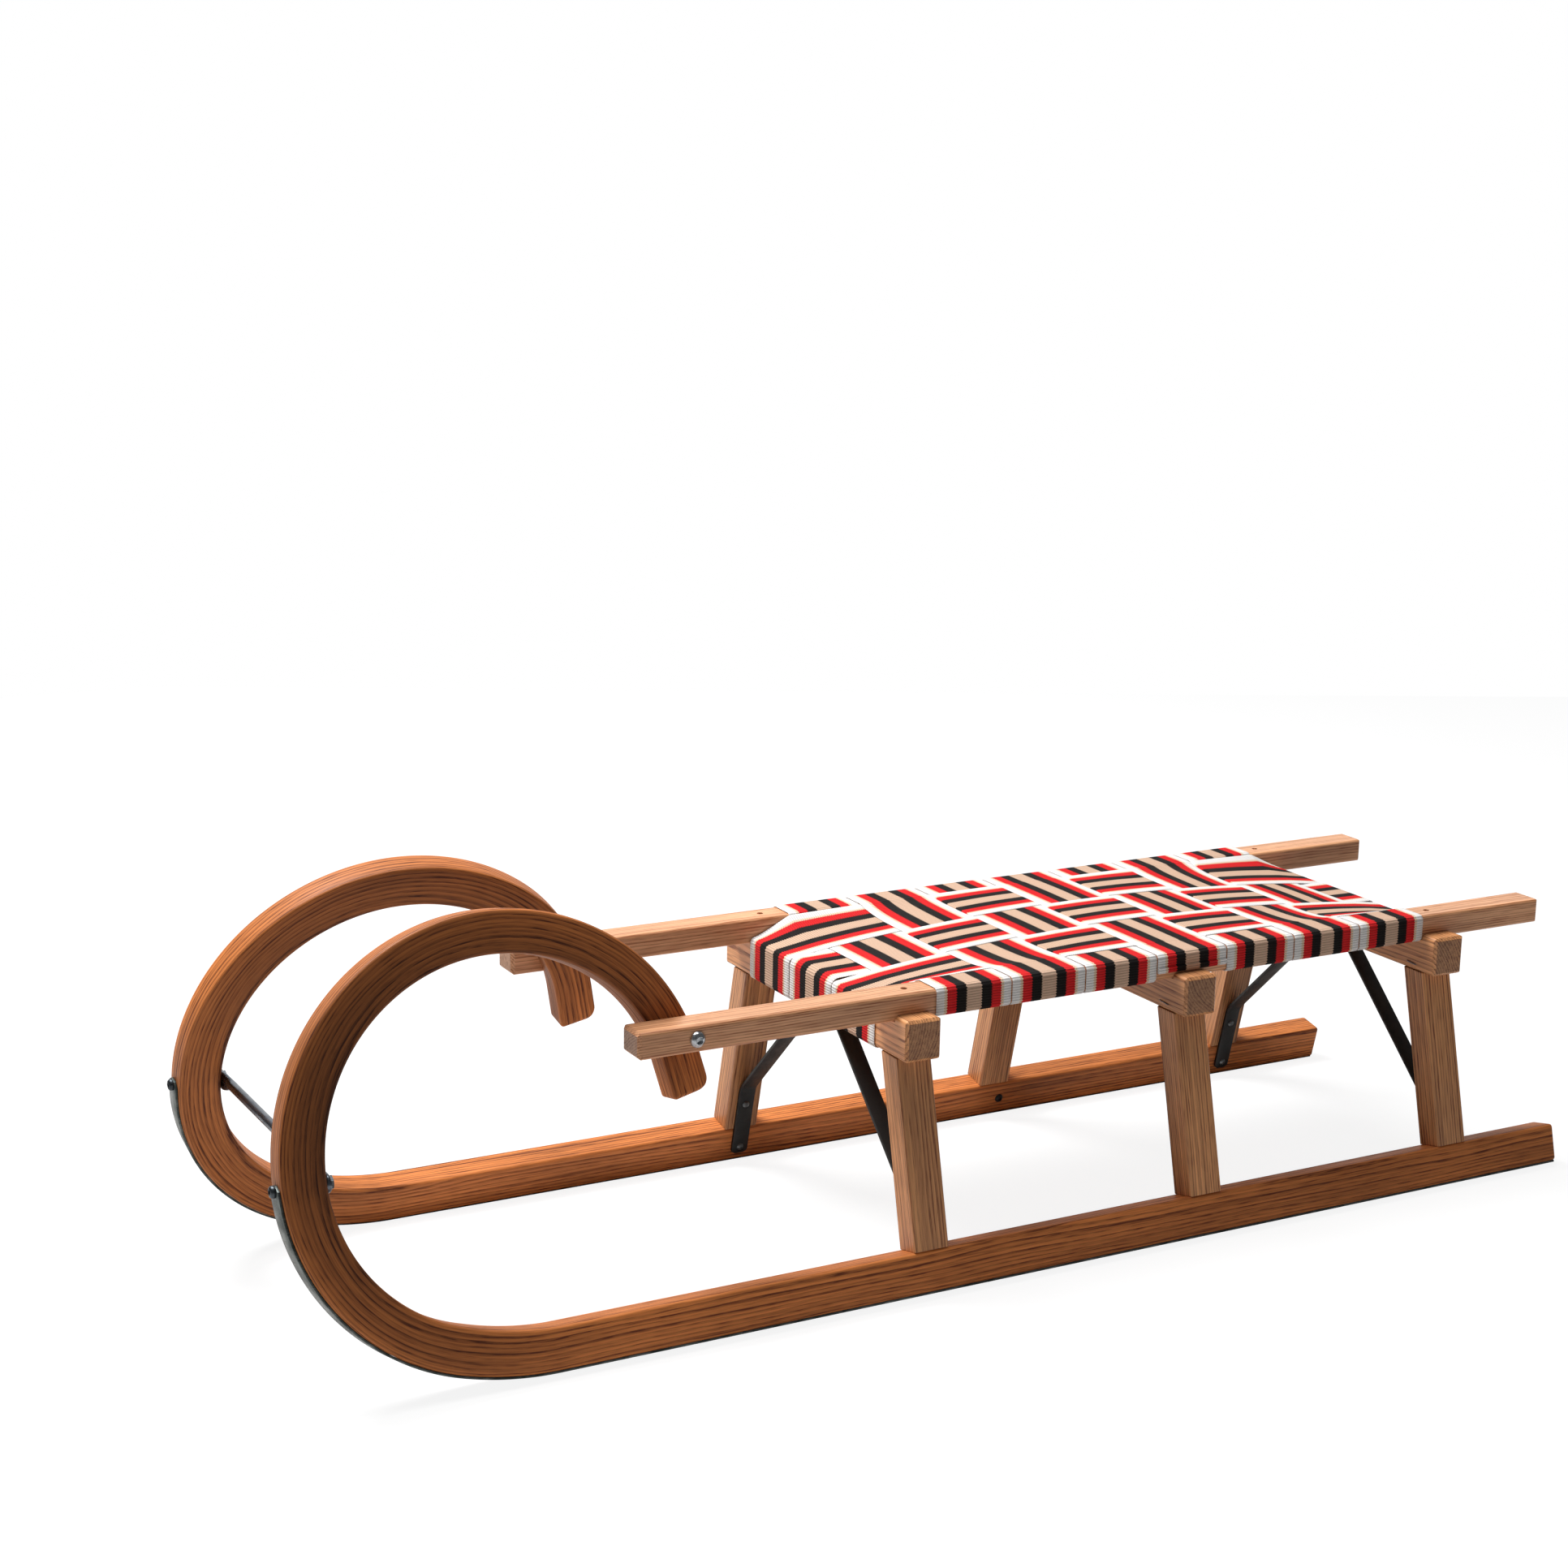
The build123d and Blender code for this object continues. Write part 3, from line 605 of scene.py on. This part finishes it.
# dull grey dots on the black straps
rivet_steel = steel("dulled_steel_rivets", "5A5E60", "9A9E9F", rough=0.38)
rivet_heights = (60 * mm, 15 * mm)             # up the leaning plane: leg and runner
rivet_profile = ((-0.5, 0.4, 0), (-0.5, 3.3, 0), (0.25, 3.4, 0), (0.9, 3.0, 0), (1.4, 2.2, 0),
                 (1.65, 1.2, 0), (1.7, 0.3, 0))
screw_profile = ((-0.5, 0.4, 0), (-0.5, 3.8, 0), (0.3, 3.9, 0), (1.2, 3.4, 0), (1.8, 2.4, 0),
                 (1.9, 1.7, 4), (0.9, 1.4, 4), (0.9, 0.3, 4))
for place_name, x in end_bars:
    for name, mirror in both_sides:
        for h in rivet_heights:
            at = foot + up * h + inward * (runner_width + brace_thickness) + x * forward
            turned(f"rivet_{place_name}_{name}_{round(h / mm)}", rivet_profile, at * mirror,
                   inward * mirror, rivet_steel, "black_steel", columns=20)
        at = np.array([x, brace_meet - brace_foot * 0.55, bar_low[2] - brace_thickness])
        turned(f"brace_screw_{place_name}_{name}", screw_profile, at * mirror, (0, 0, -1),
               rivet_steel, "black_steel", columns=24)

# ---- runner screws and staples -----------------------------------------------------------
# A black round-headed screw holds each runner to its middle leg from the inside, and wire
# staples are driven flat into the front faces of the middle and rear crossbars.

dark_screw = ((-0.5, 0.4, 0), (-0.5, 4.1, 0), (0.4, 4.2, 0), (1.4, 3.6, 0), (2.1, 2.4, 0),
              (2.4, 1.7, 4), (1.4, 1.4, 4), (1.4, 0.3, 4))
screw_height, screw_behind = 16.5 * mm, 8 * mm   # up the runner; behind the leg's middle
for name, mirror in both_sides:
    at = foot + up * screw_height + inward * runner_width + (bar_x[1] - screw_behind) * forward
    turned(f"runner_screw_{name}", dark_screw, at * mirror, inward * mirror, black_enamel,
           "black_steel", columns=24)

# a thin light line on the wood
bright_wire = steel("bright_steel_wire", "6E7275", "B9BCBE", rough=0.3)
staple_radius, staple_below = 0.6 * mm, 4 * mm    # wire; depth of the points drawn
staple_bend, staple_rows = 0.9 * mm, 0.3 * mm     # bend of its corners; spacing along it
staple_y, staple_z = (121.5 * mm, 133 * mm), bar_low[2] + 6.3 * mm
staple_tilt = 0.4 * mm            # its inner leg is driven this much higher, the other lower
for place_name, x in (("middle", bar_x[1]), ("rear", bar_x[2])):
    face = x + bar_half
    staple_line = [(face - staple_below, staple_y[0], staple_z + staple_tilt),
                   (face + staple_radius, staple_y[0], staple_z + staple_tilt),
                   (face + staple_radius, staple_y[1], staple_z - staple_tilt),
                   (face - staple_below, staple_y[1], staple_z - staple_tilt)]
    place, direction, run = rounded_line(staple_line, [staple_bend] * 2, staple_rows)
    ring_a, ring_b = rounded_ring(staple_radius, staple_radius, nearly_round * staple_radius, 3)
    across = unit(np.cross(direction, (0, 0, 1.0)))
    wire = swept(place, ring_a, ring_b, across, np.cross(across, direction))
    for name, mirror in both_sides:
        grid_piece(f"staple_{place_name}_{name}", wire * mirror, bright_wire, "bright_steel")

# ---- bolts and horn rod ------------------------------------------------------------------
# Button-headed zinc-plated bolts with hexagon sockets and plain nuts: one through each rail
# and horn tip, and one through each toe, which also holds the flattened eyes of the round
# steel rod between the horns, where a pull rope goes.

# clean plating with small sharp highlights, and the same painted dark, as shade, with blurred
# highlights
zinc = steel("zinc_plated_steel", "B4B9BE", "DADDE0", rough=0.2)
shade_dark_zinc = steel("zinc_plate_painted_dark_as_shade", "3E4347", "6B7175", rough=0.4)
button_head = ((1.5, 0.3, 6), (1.5, 2.6, 6), (3.9, 2.7, 6), (4.2, 3.2, 0), (3.8, 4.4, 0),
               (2.7, 5.6, 0), (1.3, 6.5, 0), (0.2, 6.6, 0), (0, 6.4, 0), (0, 3, 0))
small_head = ((2.0, 0.3, 6), (2.0, 1.8, 6), (3.3, 1.9, 6), (3.5, 2.4, 0), (3.1, 3.7, 0),
              (2.0, 4.6, 0), (0.6, 4.8, 0), (0, 4.7, 0), (0, 3, 0))
nut_height = 5                    # mm, as in the CAD piece


def bolt(node, axis, head, finish, nut=nut_height):
    """Bolt along an axis, from its CAD piece's box: head, shank and a nut this thick in mm."""
    low, high = (np.array(corner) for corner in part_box(node))
    axis = np.array(axis, float)
    length = np.abs(axis) @ (high - low) / mm
    head_height = max(along for along, radius, sides in head)
    head_at = (low + high) / 2 + axis * (length / 2 - head_height) * mm
    grip = length - head_height - nut_height
    shank = ((-grip, 3, 0), (-grip, 4.85, 6), (0.4 - grip - nut, 4.85, 6),
             (-grip - nut, 4.4, 0), (-grip - nut, 0.3, 0))
    piece = turned(f"{node}_zinc", head + shank, head_at, axis, finish, "bright_steel")
    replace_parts(piece, node)


bolt("rail_bolt_left", (0, 1, 0), button_head, zinc)
bolt("rail_bolt_right", (0, -1, 0), button_head, zinc)
# the horn bolts and their nuts are painted dark, as shade
bolt("horn_bolt_left", (1, 0, 0), small_head, shade_dark_zinc, nut=2.5)
bolt("horn_bolt_right", (1, 0, 0), small_head, shade_dark_zinc, nut=2.5)

rod_low, rod_high = (np.array(corner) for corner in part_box("horn_rod"))
rod_radius, eye_radius, eye_thickness = 4 * mm, 7.6 * mm, 4 * mm
flat_from, flat_over = 26 * mm, 18 * mm    # start of the flattening, and its length
eye_y = rod_high[1] - 9 * mm      # the toe bolt's middle
eye_end = 0.8 * mm                # half height that is left at the very end of the eye
rod_y = np.linspace(-1, 1, 281) * (eye_y + eye_radius)
from_eye = np.abs(rod_y) - eye_y
flattening = np.clip((from_eye + flat_from) / flat_over, 0, 1)
flattening = flattening ** 2 * (3 - 2 * flattening)
eye_round = np.sqrt(np.maximum(eye_radius ** 2 - np.maximum(from_eye, 0) ** 2, eye_end ** 2))
half_x = rod_radius + (eye_thickness / 2 - rod_radius) * flattening
half_z = np.where(from_eye > 0, eye_round, rod_radius + (eye_radius - rod_radius) * flattening)
rod_x = rod_low[0] + rod_radius + (rod_high[0] - eye_thickness / 2 - rod_low[0] - rod_radius) * (
    flattening)
ring_a, ring_b = rounded_ring(half_x, half_z, np.minimum(half_x, half_z) * nearly_round, 8)
rod = np.column_stack([rod_x, rod_y, 0 * rod_y + (rod_low[2] + rod_high[2]) / 2])
rod = swept(rod, ring_a, ring_b, forward, (0, 0, 1.0))
# bluish grey, with faint marks along the bar
rod_steel = steel("drawn_steel_rod", "5D636B", "8D939A", rough=0.3, brushing=(900, 20, 900))
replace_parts(grid_piece("horn_rod_steel", rod, rod_steel, "bright_steel"), "horn_rod")

# ---- woven seat --------------------------------------------------------------------------
# Seven cross bands and three long bands of striped polyester webbing in plain weave. The
# cross bands wrap round the side rails and the long bands over the end crossbars. The
# long ones rise and fall more as they cross, because the cross bands are pulled tighter.

cross_count, long_count = 7, 3
band_thickness, band_gap, wrap_clearance = 1.2 * mm, 1.2 * mm, 0.25 * mm
band_rows = 1.0 * mm              # spacing along a band
rail_return, bar_return = 6 * mm, 7 * mm       # band ends turned in under the wood
hem_gap, hem_up = 1.5 * mm, 5 * mm             # a hem's level over the bar; its turned end
fold_gap, fold_slack = 0.15 * mm, 0.01 * mm    # air in a fold; its two turns don't touch
out_past, out_above = 3 * mm, 2 * mm           # a low band's corners past weave and bar
weave_front = bar_x[0] - bar_half - 4.4 * mm   # the cross bands are beaten up rearwards
weave_rear = bar_x[2] + bar_half
cross_pitch = (weave_front - weave_rear) / cross_count
cross_x = weave_front - cross_pitch * (np.arange(cross_count) + 0.5)
long_pitch = 2 * rail_low[1] / long_count
long_y = long_pitch * (np.arange(long_count) - (long_count - 1) / 2)
wrap_level = rail_high[2] + wrap_clearance
cross_step, long_step = 0.45 * mm, 0.8 * mm   # centre of a band above or below the weave
cross_bulge, long_bulge = 0.3 * mm, 0.3 * mm
change = 3.2 * mm                 # length over which a band changes level
selvage = 1.4 * mm                # width over which a band thins to its edge
fade_length, fade_power = 34 * mm, 1.3         # the weave's rise dies out past its edge
dip_loss, dip_power = 10, 5.5     # how a rail holds the weave up: per metre of dip, and power
stripes = ((0.0, "F3F0EE"), (0.105, "EBD3B6"), (0.14, "DE2528"), (0.265, "1B1716"),
           (0.40, "D8B59C"), (0.60, "1B1716"), (0.735, "DE2528"), (0.86, "EBD3B6"),
           (0.895, "F3F0EE"))
rib = 2.2 * mm                    # one pick of the rep weave


def webbing(name):
    """Rep-woven polyester webbing: matt, in lengthwise stripes under fine cross ribs.

    The band attribute is (metres along, share of the width, number of the band). Each
    rib steps the stripes' edges to and fro, and dips between ribs and threads are
    painted darker, as shade.
    """
    material, tree = new_material(name)
    band = add_node(tree, "Attribute", attribute_name="band")
    place = add_node(tree, "SeparateXYZ", {0: band.outputs["Vector"]})
    ribs = maths(tree, "DIVIDE", place.outputs[0], rib)
    wave = maths(tree, "SINE", maths(tree, "MULTIPLY", ribs, 2 * np.pi))
    step = maths(tree, "MULTIPLY_ADD", wave, 0.0075, place.outputs[1])
    ramp = add_node(tree, "ValToRGB", {0: step})
    ramp.color_ramp.interpolation = "CONSTANT"
    for number, (start, hex_colour) in enumerate(stripes):
        if number == 0:
            stop = ramp.color_ramp.elements[0]
        elif number == len(stripes) - 1:
            stop = ramp.color_ramp.elements[-1]
            stop.position = start
        else:
            stop = ramp.color_ramp.elements.new(start)
        stop.color = linear(hex_colour)
    # warp threads, 130 over the width, 0.55 mm each
    thread = maths(tree, "SINE", maths(tree, "MULTIPLY", place.outputs[1], 2 * np.pi * 130))
    noise = stretched_noise(tree, band.outputs["Vector"], (900, 70, 7), 2)
    lie = maths(tree, "MULTIPLY_ADD", thread, 0.25, wave)
    # painted shade: the dips between ribs and threads are darkened; the noise is the cloth's own
    # uneven tone
    value = maths(tree, "MULTIPLY", remap(tree, lie, -1.15, 0.3, 0.66, 1.0),
                  remap(tree, noise, 0.3, 0.7, 0.93, 1.05))
    colour = add_node(tree, "HueSaturation", {"Color": ramp.outputs[0], "Value": value})
    bump = add_node(tree, "Bump", {"Height": lie, "Strength": 0.7, "Distance": 0.25 * mm})
    shader = add_node(tree, "BsdfPrincipled", {
        "Base Color": colour.outputs[0], "Roughness": 0.82, "Normal": bump.outputs[0],
        "IOR": 1.45, "Specular IOR Level": 0.2})
    show(tree, shader)
    return material


def levels(place, edges, signs):
    """Level of a band along its length: +1 over and -1 under.

    At each edge it changes by half the difference * (1 + sin), over the change length.
    """
    phase = np.clip((place[:, None] - edges) / (change / 2), -1, 1)
    return signs[0] + np.sum(np.diff(signs) / 2 * (1 + np.sin(phase * np.pi / 2)), axis=1)


def band_ring(width, columns=15):
    """Section of a band as thickness and width: it thins to its edges like an ellipse."""
    v = width / 2 * np.cos(np.linspace(0, np.pi, columns))
    rim = np.clip((np.abs(v) - width / 2 + selvage) / selvage, 0, 1)
    half = band_thickness / 2 * np.sqrt(1 - rim ** 2)
    return np.r_[half, -half[-2:0:-1]], np.r_[v, v[-2:0:-1]]


def band(name, line, radii, plane, width, lift, number):
    """Band carried along a line of its inner face, then lifted where it is woven.

    A plane is (origin, axis of the line's first number, band's width direction); the
    second number is the level. Lift gives the rise at each row for a share of the width
    from -1 to 1.
    """
    origin, first, side = (np.array(v, float) for v in plane)
    place, direction, run = rounded_line(line, radii, band_rows)
    rise = np.array([0, 0, 1.0])
    out = direction[:, 1:] * first - direction[:, :1] * rise
    centre = origin + place[:, :1] * first + place[:, 1:] * rise + out * band_thickness / 2
    thick, across = band_ring(width)
    points = (centre[:, None] + thick[:, None] * out[:, None] + across[:, None] * side)
    points[..., 2] += lift(place, 2 * across / width)
    share = across / width + 0.5
    field = np.stack(np.broadcast_arrays(run[:, None], share, number + 0.0), -1)
    return grid_piece(name, points, striped, "webbing", band=field), run[-1]


# matt cloth in hard-edged stripes
striped = webbing("striped_rep_webbing")
rail_round, bar_round = 3.5 * mm, 3.5 * mm
cross_width, long_width = cross_pitch - band_gap, long_pitch - band_gap
rail_side = rail_high[1] + wrap_clearance
under_rail = rail_low[2] - wrap_clearance
wrap = rail_round + wrap_clearance
gentle_turns = (7.5 * mm, 150 * mm)            # of a band's corner down a bar, and into it

# The weave is crowned along its length. A long band lies on a shallow arc each way from
# the middle crossbar, which touches the round arris of the end crossbar.
rail_inner = rail_low[1]
arris_radius = bar_round + wrap_clearance
arris_x = np.array([bar_x[0] + bar_half - bar_round, bar_x[2] - bar_half + bar_round])
arris_level = bar_high[2] - bar_round
dip_reach, dip_fall = np.abs(arris_x - bar_x[1]), wrap_level - arris_level
dip_radius = (dip_reach ** 2 + dip_fall ** 2 - arris_radius ** 2) / (
    2 * (dip_fall - arris_radius))


def dip(x, y):
    """Fall of the weave at a place.

    It is d = (distance from the middle crossbar) ** 2 / (2 * radius) along the middle, and
    d * (1 - (1 - dip_loss * d) * (|y| / rail's inner face) ** dip_power) beside it. Over
    the rail it is no more than that of the circle on which a cross band turns round it.
    """
    middle = (x - bar_x[1]) ** 2 / (2 * np.where(x > bar_x[1], *dip_radius))
    beside = np.clip(np.abs(y) / rail_inner, 0, 1) ** dip_power
    past = np.clip(rail_inner + rail_round - np.abs(y), 0, wrap)
    turned_down = np.where(past < wrap, wrap - np.sqrt(wrap ** 2 - past ** 2), 1)
    return np.minimum(middle * (1 - (1 - dip_loss * middle) * beside), turned_down)


for i in range(cross_count):
    over = np.array([1 if (i + k) % 2 else -1 for k in range(long_count)])
    edges = long_pitch * (np.arange(long_count + 1) - long_count / 2)

    def cross_lift(place, share):
        """Rise of a cross band: its level step, a slight crown where it is over, the dip."""
        on_top = place[:, 1] > wrap_level - mm
        level = levels(place[:, 0], edges, np.r_[0, over, 0]) * on_top
        cell = np.cos(np.pi * (place[:, 0] / long_pitch)) ** 2
        crown = cell[:, None] * (1 - share ** 2)
        fall = dip(cross_x[i] + share * cross_width / 2, place[:, :1]) * on_top[:, None]
        return level[:, None] * (cross_step + cross_bulge * crown) - fall

    if cross_x[i] - cross_pitch / 2 < bar_x[1] < cross_x[i] + cross_pitch / 2:
        # over the middle crossbar the end is turned back up on itself and stitched down
        hem, fold = bar_high[2] + hem_gap, 2 * band_thickness + fold_gap
        half = [(rail_side + fold, hem + hem_up), (rail_side + fold, hem), (rail_side, hem)]
        fold_turns = [fold / 2 - fold_slack] * 2
        radii = fold_turns + [wrap] * 2 + fold_turns
    else:
        half = [(rail_inner + rail_return, under_rail), (rail_side, under_rail)]
        radii = [wrap] * 4
    half.append((rail_side, wrap_level))
    line = half + [(-y, z) for y, z in reversed(half)]
    piece, length = band(f"webbing_cross_{i + 1}", line, radii,
                         ((cross_x[i], 0, 0), (0, 1, 0), (1, 0, 0)), cross_width, cross_lift, i)
    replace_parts(piece, f"seat_band_cross_{i + 1}")


def slope_corner(start, face_x, direction):
    """Corner of a band that slopes from the weave, tangent to a crossbar's round arris."""
    centre_x = face_x - direction * bar_round
    dx, dz = direction * (start[0] - centre_x), start[1] - arris_level
    tilt = np.arctan2(dx, dz) + np.arccos(arris_radius / np.hypot(dx, dz))
    return (face_x + direction * wrap_clearance,
            arris_level + arris_radius * (1 - np.sin(tilt)) / np.cos(tilt))


for k, name in enumerate(("right", "middle", "left")):
    over = np.array([1 if (i + k) % 2 == 0 else -1 for i in range(cross_count)])
    edges = weave_front - cross_pitch * np.arange(cross_count + 1)

    def long_lift(place, share):
        """Rise of a long band: its level step, a slight bulge, and less dip near a rail."""
        x = place[:, 0]
        level = levels(x, edges[-2:0:-1], over[::-1])
        cell = np.sin(np.pi * (x - weave_front) / cross_pitch) ** 2
        cell *= (x < weave_front) & (x > weave_rear)
        crown = cell[:, None] * (1 - share ** 2)
        out = np.maximum(x - weave_front, weave_rear - x) / fade_length
        fade = (1 - np.clip(out, 0, 1)) ** fade_power * (place[:, 1] > arris_level)
        held_up = dip(x[:, None], 0) - dip(x[:, None], long_y[k] + share * long_width / 2)
        return (level[:, None] * (long_step + long_bulge * crown) + held_up) * fade[:, None]

    line = []
    for end, (face_x, direction) in enumerate(((bar_x[0] + bar_half, 1),
                                               (bar_x[2] - bar_half, -1))):
        outside = face_x + direction * wrap_clearance
        under = bar_low[2] - wrap_clearance
        foot_of_band = [(face_x - direction * bar_return, under), (outside, under)]
        edge = (weave_front, weave_rear)[end]
        reach = dip_reach[end] if over[-end] > 0 else abs(edge - bar_x[1])
        turn = np.arcsin(reach / (dip_radius[end] - arris_radius))
        start = bar_x[1] + direction * dip_radius[end] * np.tan(turn / 2)
        if over[-end] > 0:
            top = [slope_corner((start, wrap_level), face_x, direction), (start, wrap_level)]
            top_radii = [wrap, dip_radius[end]]
        else:
            # it comes out from under the last cross band and turns down more gently
            edge += direction * out_past
            top = [(outside, bar_high[2] + out_above),
                   (edge, wrap_level - np.tan(turn) * abs(edge - start)), (start, wrap_level)]
            top_radii = [*gentle_turns, dip_radius[end]]
        end_line, end_radii = foot_of_band + top, [wrap] + top_radii
        line = end_line if direction > 0 else line + end_line[::-1]
        radii = end_radii if direction > 0 else radii + end_radii[::-1]
    piece, length = band(f"webbing_long_{name}", line, radii,
                         ((0, long_y[k], 0), (1, 0, 0), (0, 1, 0)), long_width, long_lift,
                         k + cross_count)
    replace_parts(piece, f"seat_band_long_{name}")

# ---- studio ------------------------------------------------------------------------------
# White floor and backdrop, a broad soft light high at the front right, a weaker one above.
# Only the part of the backdrop behind the sled shines in it.

white = linear("FFFFFF")
floor_glow, glow_share = 1.1, 0.8    # to the camera, so that it's as white as the backdrop
material, tree = new_material("white_studio_floor")
rays = add_node(tree, "LightPath")
seen = maths(tree, "MULTIPLY", rays.outputs["Is Camera Ray"], floor_glow)
glow = add_node(tree, "Emission", {"Color": white, "Strength": seen})
matt = add_node(tree, "BsdfDiffuse", {"Color": linear("F2F2F2")})
bounce = add_node(tree, "BsdfDiffuse", {"Color": linear("D2D0CE")})
shade = add_node(tree, "MixShader", {0: glow_share, 1: matt.outputs[0], 2: glow.outputs[0]})
lit = add_node(tree, "MixShader", {0: rays.outputs["Is Camera Ray"], 1: bounce.outputs[0],
                                   2: shade.outputs[0]})
show(tree, lit)


def studio_face(name, corners, material):
    """Flat face of the studio."""
    mesh = bpy.data.meshes.new(name)
    mesh.from_pydata(corners, [], [(0, 1, 2, 3)])
    mesh.materials.append(material)
    placed(name, mesh)


reach = 2.6                       # of the floor from its middle, in metres
studio_face("floor", [(-reach, -reach, 0), (reach, -reach, 0), (reach, reach, 0),
                      (-reach, reach, 0)], material)

material, tree = new_material("white_studio_backdrop")
rays = add_node(tree, "LightPath")
seen = maths(tree, "MAXIMUM", rays.outputs["Is Camera Ray"], rays.outputs["Is Glossy Ray"])
glow = add_node(tree, "Emission", {"Color": white, "Strength": seen})
show(tree, glow)
studio_face("backdrop", [(1.6, -3.4, 0), (-3.6, -0.9, 0), (-3.6, -0.9, 3), (1.6, -3.4, 3)],
            material)

world = bpy.data.worlds.new("white_studio")
bpy.context.scene.world = world
world.use_nodes = True
tree = world.node_tree
tree.nodes.clear()
rays = add_node(tree, "LightPath")
ambient = 0.11
strength = remap(tree, rays.outputs["Is Camera Ray"], 0, 1, ambient, 1.0)
sky = add_node(tree, "Background", {"Color": white, "Strength": strength})
add_node(tree, "OutputWorld", {"Surface": sky.outputs[0]})


def soft_light(name, at, target, size, watts):
    """Square area light at a place, facing a target."""
    light = bpy.data.lights.new(name, "AREA")
    light.size = size
    light.energy = watts
    lamp = placed(name, light)
    lamp.location = at
    lamp.rotation_euler = (Vector(target) - Vector(at)).to_track_quat("-Z", "Y").to_euler()


soft_light("key", (1.0, -1.1, 2.85), (0, 0, 0.2), 1.2, 122)
soft_light("top", (0.1, -0.2, 3.0), (0, 0, 0.2), 1.0, 34)

# Camera not quite a metre up, two metres off at the front left, with a longish lens.
yaw, pitch, roll = np.radians([241.29, 12.90, -0.95])
look = np.array([np.cos(pitch) * np.cos(yaw), np.cos(pitch) * np.sin(yaw), -np.sin(pitch)])
level_right = np.array([np.sin(yaw), -np.cos(yaw), 0])
level_down = np.cross(look, level_right)
right = np.cos(roll) * level_right + np.sin(roll) * level_down
down = -np.sin(roll) * level_right + np.cos(roll) * level_down
camera = placed("camera", bpy.data.cameras.new("camera"))
camera.data.sensor_width = 36.0
camera.data.lens = 61.81
camera.data.clip_end = 200
placing = np.eye(4)
placing[:3, :3] = np.stack([right, -down, -look], -1)
placing[:3, 3] = (1.15315, 1.8960, 0.8863)
camera.matrix_world = Matrix(placing.tolist())
bpy.context.scene.camera = camera
bpy.context.scene.view_settings.view_transform = "Standard"
